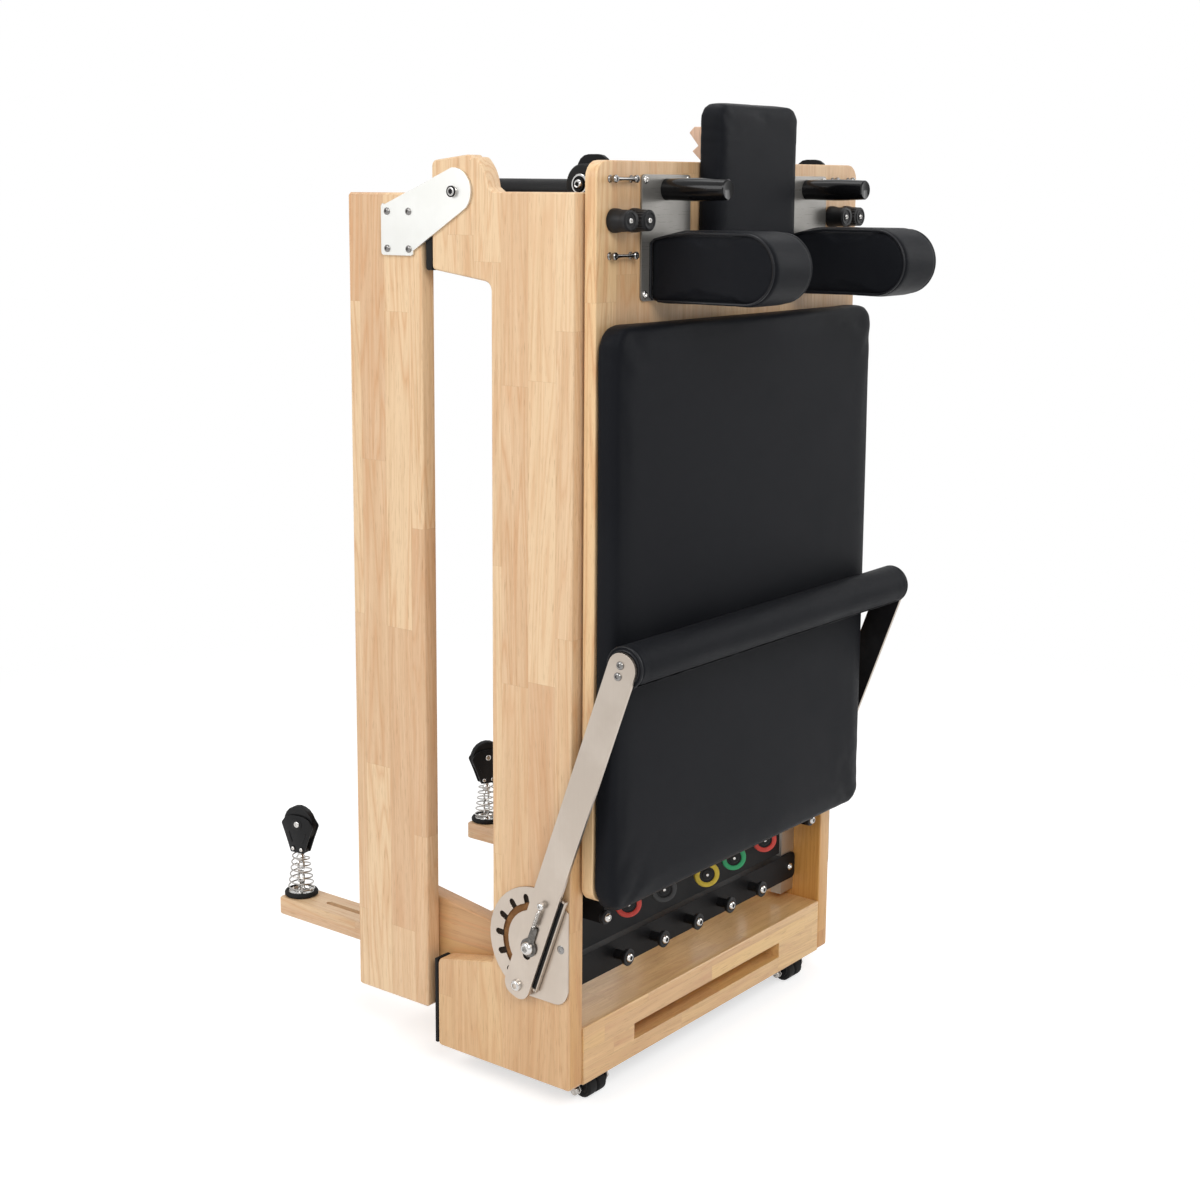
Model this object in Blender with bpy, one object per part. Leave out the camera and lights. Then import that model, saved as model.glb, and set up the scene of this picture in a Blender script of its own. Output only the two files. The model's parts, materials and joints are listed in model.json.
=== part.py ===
"""Folding pilates reformer, stored upright on its foot end.

The frame is two halves joined by a hinge at the top. The foot half carries the carriage, the springs and the
foot bar, and the head half carries the risers with their rope pulleys. Lengths are in metres, +Z up.

Everything is drawn in the frame's own place: X from the middle plane, Y from the front face of the foot
half's rails towards the back, Z from the lower end of those rails. The empty at the end carries it all to an
origin on the floor, at the middle of the whole.
"""

import math

import bmesh
import bpy
from mathutils import Matrix, Vector

# Sizes of the wooden frame
frameWidth = 0.665
sideThickness = 0.028
sideHeight = 1.200
railDepth = 0.138
legLength = 0.103
footLegBase = 0.1516
footLegTip = 0.130
midLegBase = 0.1166
midLegTip = 0.1024
foldSpace = 0.122  # from the back of the foot half's rails to the front of the head half's
headRailFoot = 0.050
railEndGap = 0.002
earRadius = 0.0575
earTipRise = 0.040
earTopRise = 0.048
woodEdge = 0.004
clearance = 0.0003  # between pieces that touch

padThickness = 0.0052
endBlockHeight = 0.083
handleSlotLength = 0.376
handleSlotLow = 0.0255
handleSlotHigh = 0.049
handleSlotDepth = 0.060
battenWidth = 0.036
battenDepth = 0.036
battenFront = 0.050
footBattenFoot = 0.092

# Head half
headLegFoot = 0.055
headLegTipY = 0.155
headLegTipTop = 0.193
headLegBaseTop = 0.208
headLegMargin = 0.008
headEndThickness = 0.024
hingePlateThickness = 0.004
hingePlateLength = 0.1306
hingePlateDrop = 0.0855
hingePlateRise = 0.009
hingePlateInset = 0.006
hingeNose = 0.031
hingePinRadius = 0.006
hingeHeadRadius = 0.0075
hingeHeadHeight = 0.004
hingeTubeRadius = 0.0175
pinClearance = 0.0004

# Risers and pulleys
riserPlace = 0.105  # from the outer face of the rail to the middle of the riser
riserWidth = 0.060
riserThickness = 0.028
riserBack = 0.657
riserFront = 0.309
riserSlotBack = 0.579
riserSlotFront = 0.354
riserPush = {-1: 0.009, 1: 0.0}  # how far each riser is pushed in
riserSlotWidth = 0.010
knobStud = 0.004
knobRadius = 0.011
knobHeight = 0.009
knobY = 0.376
pulleyInset = 0.0205
pulleyBaseRadius = 0.0265
pulleyBaseHeight = 0.006
springLowRadius = 0.0205
springHighRadius = 0.0125
springWire = 0.0011
springTurns = 6
springHeight = 0.0632
swivelPost = 0.0045
sheaveRadius = 0.0285
sheaveThickness = 0.011
sheaveBore = 0.0045
blockPlate = 0.0025
blockGap = 0.0007
blockHalfWidth = 0.0303
blockFootHalf = 0.0135
blockAxleHeight = 0.0466
blockTop = 0.0145
blockTurn = {-1: 8.0, 1: 64.0}  # degrees, how each block stands turned on its swivel

# Carriage
boardMargin = 0.015
boardThickness = 0.019
boardGap = 0.005
boardFoot = 0.268
boardRise = 0.040  # above the top of the foot half's rails
boardCorner = 0.022
cushionFoot = 0.260
cushionDrop = 0.206  # this and the other drops are from the board's upper end
cushionThickness = 0.0355
cushionCorner = 0.028
cushionCrown = 0.002
wheelRadius = 0.026
wheelWidth = 0.018
wheelPlace = 0.0436
wheelDrop = 0.030
wheelLow = 0.330
wheelBore = 0.0052
wheelStub = 0.0048
axleHead = 0.0085
axleHeadLength = 0.005
frameBarPlace = 0.0665
frameBarThickness = 0.006
frameBarBack = 0.054
frameFoot = 0.162
barFoot = 0.221
frameDrop = 0.040
frameTab = 0.024
crossPlateHeight = 0.094
crossPlateThickness = 0.004
topBarHeight = 0.040
topBarDrop = 0.110

# Shoulder rests
plateLeft = 0.106
plateWidth = 0.1085
plateHeight = 0.162
plateDrop = 0.017
plateThickness = 0.003
plateCorner = 0.006
shoulderLeft = 0.123
shoulderWidth = 0.090
shoulderHang = 0.003  # of the pad below the plate's lower edge
shoulderHeight = 0.094
shoulderReach = 0.2205
shoulderRound = 0.0468
shoulderHeel = 0.012
shoulderNape = 0.024
gripPlace = 0.160
gripDrop = 0.036
gripRadius = 0.0135
gripBulge = 0.0013
gripReach = 0.124
camPlaces = (0.049, 0.0895)
camDrop = 0.075
camRadius = 0.014
camLobe = 0.0182
camHeight = 0.0285
camTeeth = 5

# Headrest
headrestMargin = 0.0195  # from the shoulder plates
headrestHeight = 0.241
headrestRise = 0.076
headrestFront = 0.060
headrestCorner = 0.016
headrestBackRound = 0.006
propWidth = 0.060
propHingeY = 0.0193  # in front of the rails, like the board
propHingeRise = 0.043
propHingeRadius = 0.0045
propTopThickness = 0.0055
propTopLength = 0.0502
propToothHigh = (0.0583, -0.0024)  # the teeth are given from the hinge
propValley = (0.0431, -0.0201)
propToothLow = (0.0530, -0.0274)
propFootLength = 0.0368

# Springs on the carriage and the bar that they hook on
springBarFront = 0.0457
springBarFoot = 0.115
springBarHeight = 0.042
springBarThickness = 0.004
springBarFlange = 0.040
springBarEnd = 0.030
springBarCorner = 0.008
bobbinSpacing = 0.086
bobbinCount = 5
bobbinRadius = 0.007
bobbinFlange = 0.0115
bobbinReach = 0.0217
bobbinHead = 0.0062
bobbinHeadHeight = 0.0045
coilSpacing = 0.089
coilRadius = 0.011
coilFoot = 0.262
coilTop = 0.585
coilY = 0.024
hookRadius = 0.0035
eyeRadius = 0.0197
eyeThickness = 0.010
eyeShifts = (0.004, 0.0, 0.020, 0.002, -0.002)  # how far each loose eye has swung to the right
eyeHeights = (0.216, 0.213, 0.204, 0.210, 0.215)
eyeTurn = 38.0  # degrees, how the eyes hang turned towards the left
anchorTop = 0.612
anchorHeight = 0.014
anchorWidth = 0.020

# Foot bar
barRadius = 0.029
barEndRound = 0.006
barPivotY = 0.059
barPivotZ = 0.198
barGap = 0.0012  # from the cushion
barReach = 0.436
armWidth = 0.0435
armThickness = 0.005
armStand = 0.0077
latchReach = 0.0635
latchPin = 0.004
latchHead = 0.008
latchHeadHeight = 0.004
armFootRound = 0.0175
armTopRound = 0.0205
armSlotWidth = 0.0128
liftTravel = 0.013
pivotRadius = 0.0058
pivotHead = 0.0105
pivotHeadHeight = 0.006
pivotDepth = 0.015
spacerRadius = 0.012
leverLength = 0.032
leverWidth = 0.012
leverThickness = 0.003
gearRadius = 0.080
gearThickness = 0.003
gearFront = 0.003
gearFoot = 0.122
gearCorner = 0.022
arcInner = 0.0475
arcOuter = 0.057
notchTip = 0.0700
notchWidth = 0.0088
notchCount = 7
notchStep = 24.2

# Casters
casterRadius = 0.0155
casterWidth = 0.040
casterPlaceFront = 0.056
casterPlaceRear = 0.080
casterFrontY = 0.026
casterRearY = 0.214
casterAxle = 0.0035
casterDrop = 0.0205
casterPlateThickness = 0.002
casterPlateMargin = 0.008
bracketThickness = 0.003
bracketHalf = 0.012
hubNutRadius = 0.0065
hubNutLength = 0.007

# Places that follow from the sizes
halfWidth = frameWidth / 2
hingeY = railDepth + foldSpace / 2
hingeZ = sideHeight
headFront = railDepth + foldSpace
headBack = headFront + railDepth
headTop = sideHeight - railEndGap
innerFace = sideThickness + clearance
boardBack = -boardGap
boardFront = boardBack - boardThickness
wheelY = battenFront - wheelRadius - clearance
boardTop = sideHeight + boardRise
cushionTop = boardTop - cushionDrop
cushionFront = boardFront - clearance - cushionThickness - cushionCrown
wheelHigh = boardTop - wheelDrop
plateTop = boardTop - plateDrop
plateFoot = plateTop - plateHeight
gripZ = boardTop - gripDrop
camZ = boardTop - camDrop
headrestWidth = frameWidth - 2 * (plateLeft + plateWidth + headrestMargin)
headrestTop = boardTop + headrestRise
headrestFoot = headrestTop - headrestHeight
propHingeZ = boardTop + propHingeRise
riserFoot = headRailFoot + headEndThickness + clearance
riserTop = riserFoot + riserThickness
pulleyY = riserBack - pulleyInset
backReach = pulleyY + pulleyBaseRadius
armInner = -(clearance + gearThickness + armStand)
floorZ = -(casterDrop + casterRadius)
barY = cushionFront - barGap - barRadius
barLean = math.degrees(math.asin((barPivotY - barY) / barReach))  # from upright, towards the front
sides = {"left": -1, "right": 1}


def across(side, depth):
    """X of a point that lies this far inwards from the outer face of the rail on that side."""
    return side * (halfWidth - depth)


def span(side, near, far):
    """Lowest and highest X of a stretch between two depths from the outer face."""
    return sorted((across(side, near), across(side, far)))


def from_rail(side, profile):
    """A profile whose places are depths from the outer face of the rail on that side."""
    return [(radius, across(side, depth)) for radius, depth in profile]


# Materials


def finish(name, color, roughness, metallic=0.0):
    made = bpy.data.materials.new(name)
    made.use_nodes = True
    shader = made.node_tree.nodes["Principled BSDF"]
    shader.inputs["Base Color"].default_value = (*color, 1.0)
    shader.inputs["Roughness"].default_value = roughness
    shader.inputs["Metallic"].default_value = metallic
    made.diffuse_color = (*color, 1.0)
    return made


def clear_scene():
    for old in list(bpy.data.objects):
        bpy.data.objects.remove(old, do_unlink=True)


# Outlines


def arc(centre, radius, start, end, steps):
    """Points on an arc, angles in degrees."""
    points = []
    for step in range(steps + 1):
        angle = math.radians(start + (end - start) * step / steps)
        points.append((centre[0] + radius * math.cos(angle), centre[1] + radius * math.sin(angle)))
    return points


def rounded(corners, steps=4):
    """A closed outline whose corners, given as (a, b, radius), are rounded."""
    outline = []
    count = len(corners)
    for index, (a, b, radius) in enumerate(corners):
        here = Vector((a, b))
        before = Vector(corners[index - 1][:2]) - here
        after = Vector(corners[(index + 1) % count][:2]) - here
        if radius <= 0:
            outline.append((a, b))
            continue
        half = before.angle(after) / 2
        reach = radius / math.tan(half)
        reach = min(reach, 0.49 * before.length, 0.49 * after.length)
        radius = reach * math.tan(half)
        middle = here + (before.normalized() + after.normalized()).normalized() * (radius / math.sin(half))
        first = here + before.normalized() * reach - middle
        last = here + after.normalized() * reach - middle
        turn = math.atan2(first.x * last.y - first.y * last.x, first.dot(last))
        start = math.degrees(math.atan2(first.y, first.x))
        outline += arc(middle, radius, start, start + math.degrees(turn), steps)
    return outline


def rectangle(low_a, high_a, low_b, high_b, radius=0.0, steps=4):
    corners = [(low_a, low_b), (high_a, low_b), (high_a, high_b), (low_a, high_b)]
    return rounded([(a, b, radius) for a, b in corners], steps)


def placed(axis, a, b, along):
    """A point from its two coordinates square to the axis and its place along it."""
    return {"X": (along, a, b), "Y": (a, along, b), "Z": (a, b, along)}[axis]


# Solids


def prism(mesh, outline, axis, low, high):
    """Extrudes an outline along an axis."""
    bottom = [mesh.verts.new(placed(axis, a, b, low)) for a, b in outline]
    face = mesh.faces.new(bottom)
    grown = bmesh.ops.extrude_face_region(mesh, geom=[face])
    moved = [item for item in grown["geom"] if isinstance(item, bmesh.types.BMVert)]
    bmesh.ops.translate(mesh, verts=moved, vec=Vector(placed(axis, 0, 0, high - low)))
    bmesh.ops.recalc_face_normals(mesh, faces=mesh.faces)


def box(mesh, x, y, z):
    prism(mesh, rectangle(*y, *z), "X", *x)


def turned(mesh, profile, axis, centre, steps=20, closed=False):
    """Turns a profile of (radius, place along the axis) round the axis through a point.

    An open profile starts and ends on the axis, and a closed one goes round a bore."""
    direction = Vector(placed(axis, 0, 0, 1))
    out = Vector(placed(axis, 1, 0, 0))
    centre = Vector(centre)
    verts = [mesh.verts.new(centre + out * radius + direction * along) for radius, along in profile]
    edges = [mesh.edges.new(pair) for pair in zip(verts, verts[1:])]
    if closed:
        edges.append(mesh.edges.new((verts[-1], verts[0])))
    geometry = verts + edges
    full = 2 * math.pi
    bmesh.ops.spin(mesh, geom=geometry, cent=centre, axis=direction, angle=full, steps=steps, use_merge=True)
    bmesh.ops.remove_doubles(mesh, verts=mesh.verts, dist=1e-6)
    bmesh.ops.recalc_face_normals(mesh, faces=mesh.faces)


def cylinder(mesh, radius, axis, centre, low, high, steps=20):
    turned(mesh, [(0, low), (radius, low), (radius, high), (0, high)], axis, centre, steps)


def padded(mesh, axis, box_a, box_b, radii, levels, steps=5):
    """A padded form: rounded rectangles of one outline, each set in by some length, one for each level.

    Each level is (place along the axis, inset). The first and the last are closed."""
    rings = []
    for along, inset in levels:
        corners = [
            (box_a[0] + inset, box_b[0] + inset),
            (box_a[1] - inset, box_b[0] + inset),
            (box_a[1] - inset, box_b[1] - inset),
            (box_a[0] + inset, box_b[1] - inset),
        ]
        limited = [max(radius - inset, 0.002) for radius in radii]
        outline = rounded([(a, b, radius) for (a, b), radius in zip(corners, limited)], steps)
        rings.append([mesh.verts.new(placed(axis, a, b, along)) for a, b in outline])
    for ring, following in zip(rings, rings[1:]):
        count = len(ring)
        for index in range(count):
            turn = (index + 1) % count
            mesh.faces.new((ring[index], ring[turn], following[turn], following[index]))
    mesh.faces.new(rings[0])
    mesh.faces.new(rings[-1])
    bmesh.ops.recalc_face_normals(mesh, faces=mesh.faces)


# Objects

carrier = None


def make_object(name, mesh, origin=(0, 0, 0)):
    bmesh.ops.translate(mesh, verts=mesh.verts, vec=-Vector(origin))
    data = bpy.data.meshes.new(name)
    mesh.to_mesh(data)
    mesh.free()
    made = bpy.data.objects.new(name, data)
    made.location = origin
    made.parent = carrier
    bpy.context.scene.collection.objects.link(made)
    return made


def piece(name, mesh, look, origin=(0, 0, 0), edge=0.0, smooth=False):
    """A finished piece. Its origin is on the axis of the joint that moves it."""
    made = make_object(name, mesh, origin)
    made.data.materials.append(look)
    if edge:
        bevel = made.modifiers.new("edges", "BEVEL")
        bevel.width = edge
        bevel.segments = 1
        bevel.limit_method = "ANGLE"
        bevel.angle_limit = math.radians(50)
    if smooth:
        made.data.shade_smooth()
        made.data.set_sharp_from_angle(angle=math.radians(35))
    return made


def helper(name, mesh):
    """A shape that only cuts or joins."""
    made = make_object(name, mesh)
    made.hide_render = True
    made.display_type = "WIRE"
    return made


def combine(target, name, mesh, operation):
    modifier = target.modifiers.new(name, "BOOLEAN")
    modifier.operation = operation
    modifier.solver = "EXACT"
    modifier.object = helper(target.name + "_" + name, mesh)


def cut(target, name, mesh):
    combine(target, name, mesh, "DIFFERENCE")


def join(target, name, mesh):
    combine(target, name, mesh, "UNION")


def shape(maker, *values, **named):
    mesh = bmesh.new()
    maker(mesh, *values, **named)
    return mesh


# Foot half


def foot_side_outline():
    """Rail, foot leg and middle leg with the hinge's ear, cut from one panel."""
    tip = railDepth + legLength
    ear = arc((hingeY, hingeZ), earRadius, 174, 128, 6)
    return (
        rounded(
            [
                (0, 0, 0.006),
                (tip, 0, 0.005),
                (tip, footLegTip, 0.010),
                (railDepth, footLegBase, 0.008),
                (railDepth, sideHeight - midLegBase, 0.012),
                (tip, sideHeight - midLegTip, 0.006),
                (tip, sideHeight + earTipRise, 0.008),
                (hingeY - 0.026, sideHeight + earTopRise, 0.006),
            ],
            3,
        )
        + ear[::-1]
        + [(railDepth - 0.005, sideHeight), (0, sideHeight)]
    )


def make_foot_half(look):
    for word, side in sides.items():
        outline = foot_side_outline()
        solid = shape(prism, outline, "X", *span(side, 0, sideThickness))
        panel = piece("foot_side_" + word, solid, look["wood"], edge=woodEdge)
        through = span(side, -0.01, sideThickness + 0.01)
        hole = shape(cylinder, hingePinRadius + pinClearance, "X", (0, hingeY, hingeZ), *through)
        cut(panel, "hinge_hole", hole)
        blind = span(side, -0.01, pivotDepth + 0.001)
        socket = shape(cylinder, pivotRadius + pinClearance, "X", (0, barPivotY, barPivotZ), *blind)
        cut(panel, "bar_socket", socket)
        back = railDepth + legLength + clearance
        pad = shape(
            box,
            span(side, clearance, sideThickness - clearance),
            (back, back + padThickness),
            (0.003, footLegTip - 0.001),
        )
        piece("foot_pad_" + word, pad, look["rubber"])
        batten = shape(
            box,
            span(side, innerFace, sideThickness + battenWidth),
            (battenFront, battenFront + battenDepth),
            (footBattenFoot, sideHeight - 0.003),
        )
        piece("foot_batten_" + word, batten, look["wood"])
    inner = halfWidth - innerFace
    block = piece(
        "end_block",
        shape(box, (-inner, inner), (0, railDepth), (0, endBlockHeight)),
        look["wood"],
        edge=0.0015,
    )
    slot = shape(
        box,
        (-handleSlotLength / 2, handleSlotLength / 2),
        (-0.01, handleSlotDepth),
        (handleSlotLow, handleSlotHigh),
    )
    cut(block, "handle_slot", slot)


def make_hinge_tube(look):
    """The cross tube between the ears, with the pins that the head half turns on."""
    inner = halfWidth - innerFace
    plate = halfWidth + clearance + hingePlateThickness + clearance
    end = plate + hingeHeadHeight
    profile = [
        (0, -end),
        (hingeHeadRadius, -end),
        (hingeHeadRadius, -plate),
        (hingePinRadius, -plate),
        (hingePinRadius, -inner),
        (hingeTubeRadius, -inner),
        (hingeTubeRadius, inner),
        (hingePinRadius, inner),
        (hingePinRadius, plate),
        (hingeHeadRadius, plate),
        (hingeHeadRadius, end),
        (0, end),
    ]
    tube = shape(turned, profile, "X", (0, hingeY, hingeZ))
    piece("hinge_tube", tube, look["black metal"], smooth=True)


def make_spring_bar(look):
    """A steel angle across the foot end, with the bobbins that the springs hook on."""
    reach = halfWidth - springBarEnd
    back = springBarFront + springBarThickness
    top = springBarFoot + springBarHeight
    outline = rectangle(-reach, reach, springBarFoot, top, springBarCorner)
    strip = shape(prism, outline, "Y", springBarFront, back)
    bar = piece("spring_bar", strip, look["black metal"], smooth=True)
    inner = halfWidth - frameBarPlace
    deep = (springBarFront + 0.001, back + springBarFlange)
    flange = shape(box, (-inner, inner), deep, (top - springBarThickness, top))
    join(bar, "flange", flange)
    for number in range(bobbinCount):
        x = (number - (bobbinCount - 1) / 2) * bobbinSpacing
        front = springBarFront - bobbinReach
        profile = [
            (0, springBarFront + 0.001),
            (bobbinRadius, springBarFront + 0.001),
            (bobbinRadius, front + 0.006),
            (bobbinFlange, front + 0.004),
            (bobbinFlange, front),
            (bobbinHead, front),
            (bobbinHead * 0.8, front - bobbinHeadHeight),
            (0, front - bobbinHeadHeight),
        ]
        place = (x, 0, springBarFoot + springBarHeight / 2)
        join(bar, "bobbin_%d" % (number + 1), shape(turned, profile, "Y", place, 12))


def notch_angle(number):
    """Degrees from straight back. The first notch holds the stored bar."""
    return barLean - 90 + notchStep * number


def gear_slot_outline():
    """The arc that the latch pin travels in, with its notches on the outside."""
    low = notch_angle(0) - 5
    high = notch_angle(notchCount - 1) + 5
    outline = arc((barPivotY, barPivotZ), arcInner, high, low, 16)
    half = notchWidth / 2
    flare = math.degrees(half / arcOuter)
    for number in range(notchCount):
        angle = notch_angle(number)
        side = math.radians(angle)
        outward = Vector((math.cos(side), math.sin(side)))
        sideways = Vector((-math.sin(side), math.cos(side)))
        middle = Vector((barPivotY, barPivotZ)) + outward * (notchTip - half)
        if number:
            outline += arc((barPivotY, barPivotZ), arcOuter, angle - notchStep / 2, angle - flare, 1)
        else:
            outline += arc((barPivotY, barPivotZ), arcOuter, low, angle - flare, 1)
        for step in range(5):
            swing = math.radians(-90 + 45 * step)
            point = middle + outward * half * math.cos(swing) + sideways * half * math.sin(swing)
            outline.append((point.x, point.y))
        outline.append(arc((barPivotY, barPivotZ), arcOuter, angle + flare, angle + flare, 1)[0])
    outline.append(arc((barPivotY, barPivotZ), arcOuter, high, high, 1)[0])
    return outline


def make_gear_plates(look):
    for word, side in sides.items():
        low = math.degrees(math.asin((gearFoot - barPivotZ) / gearRadius))
        high = math.degrees(math.acos((gearFront - barPivotY) / gearRadius))
        outline = arc((barPivotY, barPivotZ), gearRadius, low, high, 22)
        outline += arc((gearFront + gearCorner, gearFoot + gearCorner), gearCorner, 180, 270, 5)
        plate = piece(
            "gear_plate_" + word,
            shape(prism, outline, "X", *span(side, -clearance - gearThickness, -clearance)),
            look["steel"],
        )
        cut(plate, "latch_slot", shape(prism, gear_slot_outline(), "X", *span(side, -0.01, 0.01)))
        through = span(side, -0.01, 0.01)
        hole = shape(cylinder, pivotRadius + pinClearance, "X", (0, barPivotY, barPivotZ), *through)
        cut(plate, "pivot_hole", hole)


def make_casters(look):
    """A steel plate under the foot end with four brackets, each holding one twin wheel."""
    reach = halfWidth - sideThickness - casterPlateMargin
    low = -clearance - casterPlateThickness
    deep = railDepth + legLength - casterPlateMargin
    flat = shape(box, (-reach, reach), (casterPlateMargin, deep), (low, -clearance))
    plate = piece("caster_plate", flat, look["black metal"])
    number = 0
    rows = (("front", casterPlaceFront, casterFrontY), ("rear", casterPlaceRear, casterRearY))
    for row, place, y in rows:
        for word, side in sides.items():
            number += 1
            gap = clearance * 2
            outer = span(side, place - gap - bracketThickness, place - gap)
            inner = span(side, place + casterWidth + gap, place + casterWidth + gap + bracketThickness)
            for tag, x in (("outer", outer), ("inner", inner)):
                ear = rounded(
                    [
                        (y - bracketHalf, low + 0.001, 0),
                        (y - bracketHalf, -casterDrop - 0.006, 0.008),
                        (y + bracketHalf, -casterDrop - 0.006, 0.008),
                        (y + bracketHalf, low + 0.001, 0),
                    ],
                    3,
                )
                join(plate, "%s_%s_%s" % (row, word, tag), shape(prism, ear, "X", *x))
            reach_out = place - gap - bracketThickness - hubNutLength
            reach_in = place + casterWidth + gap + bracketThickness + hubNutLength
            ends = span(side, reach_out, reach_in)
            axle = shape(cylinder, casterAxle, "X", (0, y, -casterDrop), *ends, steps=10)
            join(plate, "%s_%s_axle" % (row, word), axle)
            half = casterWidth / 2
            groove = casterRadius * 0.78
            bore = casterAxle + pinClearance
            profile = [
                (bore, -half),
                (casterRadius - 0.003, -half),
                (casterRadius, -half + 0.003),
                (casterRadius, -0.003),
                (groove, -0.002),
                (groove, 0.002),
                (casterRadius, 0.003),
                (casterRadius, half - 0.003),
                (casterRadius - 0.003, half),
                (bore, half),
            ]
            centre = (across(side, place + half), y, -casterDrop)
            wheel = shape(turned, profile, "X", centre, 20, True)
            piece("caster_wheel_%d" % number, wheel, look["rubber"], origin=centre, smooth=True)


# Head half


def make_head_half(look):
    origin = (0, hingeY, hingeZ)
    for word, side in sides.items():
        rail = piece(
            "head_rail_" + word,
            shape(box, span(side, 0, sideThickness), (headFront, headBack), (headRailFoot, headTop)),
            look["wood"],
            origin,
            edge=woodEdge,
        )
        mirror_front = 2 * hingeY - battenFront
        batten = shape(
            box,
            span(side, sideThickness - 0.001, sideThickness + battenWidth),
            (mirror_front - battenDepth, mirror_front),
            (headLegBaseTop + 0.030, headTop - 0.001),
        )
        join(rail, "batten", batten)
        slope = (headLegBaseTop - headLegTipTop) / (headFront - headLegTipY)
        back = headBack - headLegMargin
        leg = rounded(
            [
                (headLegTipY, headLegFoot, 0.006),
                (back, headLegFoot, 0.006),
                (back, headLegBaseTop + slope * (back - headFront), 0.010),
                (headLegTipY, headLegTipTop, 0.010),
            ],
            3,
        )
        thick = span(side, innerFace, innerFace + sideThickness)
        piece("head_leg_" + word, shape(prism, leg, "X", *thick), look["wood"], origin, edge=0.003)
        make_hinge_plate(look, word, side, origin)
    make_head_end(look, origin)


def make_hinge_plate(look, word, side, origin):
    """A pointed plate on the head rail, whose round nose turns on the pin in the ear."""
    back = hingeY + hingePlateLength
    top = hingeZ - hingePlateRise
    foot = hingeZ - hingePlateDrop
    front = headFront + hingePlateInset
    nose = arc((hingeY, hingeZ), hingeNose, 86, 222, 10)
    outline = nose + rounded([(front, foot, 0.004), (back, foot, 0.004), (back, top, 0.004)], 2)
    plate = piece(
        "hinge_plate_" + word,
        shape(prism, outline, "X", *span(side, -clearance - hingePlateThickness, -clearance)),
        look["bright steel"],
        origin,
    )
    through = span(side, -0.01, 0.01)
    hole = shape(cylinder, hingePinRadius + pinClearance, "X", (0, hingeY, hingeZ), *through)
    cut(plate, "pin_hole", hole)


def make_head_end(look, origin):
    """The board across the head end, with the two studs and knobs that clamp the risers."""
    inner = halfWidth - innerFace - sideThickness - clearance
    top = headRailFoot + headEndThickness
    board = piece(
        "head_end_board",
        shape(box, (-inner, inner), (headFront, headBack - 0.002), (headRailFoot, top)),
        look["wood"],
        origin,
    )
    for word, side in sides.items():
        profile = [
            (0, top - 0.002),
            (knobStud, top - 0.002),
            (knobStud, riserTop + clearance),
            (knobRadius, riserTop + clearance),
            (knobRadius, riserTop + knobHeight - 0.003),
            (knobRadius - 0.003, riserTop + knobHeight),
            (0, riserTop + knobHeight),
        ]
        join(board, "knob_" + word, shape(turned, profile, "Z", (across(side, riserPlace), knobY, 0), 16))


def make_risers(look):
    for word, side in sides.items():
        x = across(side, riserPlace)
        half = riserWidth / 2
        push = riserPush[side]
        outline = rectangle(x - half, x + half, riserFront - push, riserBack - push, 0.006, 3)
        solid = shape(prism, outline, "Z", riserFoot, riserTop)
        riser = piece("riser_" + word, solid, look["wood"], edge=0.002)
        width = riserSlotWidth / 2
        ends = (riserSlotFront - push, riserSlotBack - push)
        slot = rectangle(x - width, x + width, *ends, width * 0.98, 4)
        cut(riser, "slot", shape(prism, slot, "Z", riserFoot - 0.01, riserTop + 0.01))
        make_pulley(look, word, side, Vector((x, pulleyY - push, riserTop + clearance)))


def turn_about(mesh, centre, degrees):
    turn = Matrix.Rotation(math.radians(degrees), 3, "Z")
    bmesh.ops.rotate(mesh, verts=mesh.verts, cent=centre, matrix=turn)


def least_gap(points, wire):
    """Least distance between two turns of a coil, from surface to surface."""
    least = math.inf
    for index, point in enumerate(points):
        for other in points[index + 5:]:
            least = min(least, (point - other).length - 2 * wire)
    return least


def spring_points():
    """A conical coil, its ends standing square to what they meet."""
    per_turn = 10
    total = springTurns * per_turn
    low = 2 * springWire
    points = [Vector((springLowRadius, 0, 0))]
    for step in range(total + 1):
        share = step / total
        radius = springLowRadius + (springHighRadius - springLowRadius) * share
        angle = 2 * math.pi * springTurns * share
        height = low + (springHeight - 2 * low) * share
        points.append(Vector((radius * math.cos(angle), radius * math.sin(angle), height)))
    points.append(Vector((springHighRadius, 0, springHeight)))
    return points


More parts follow.
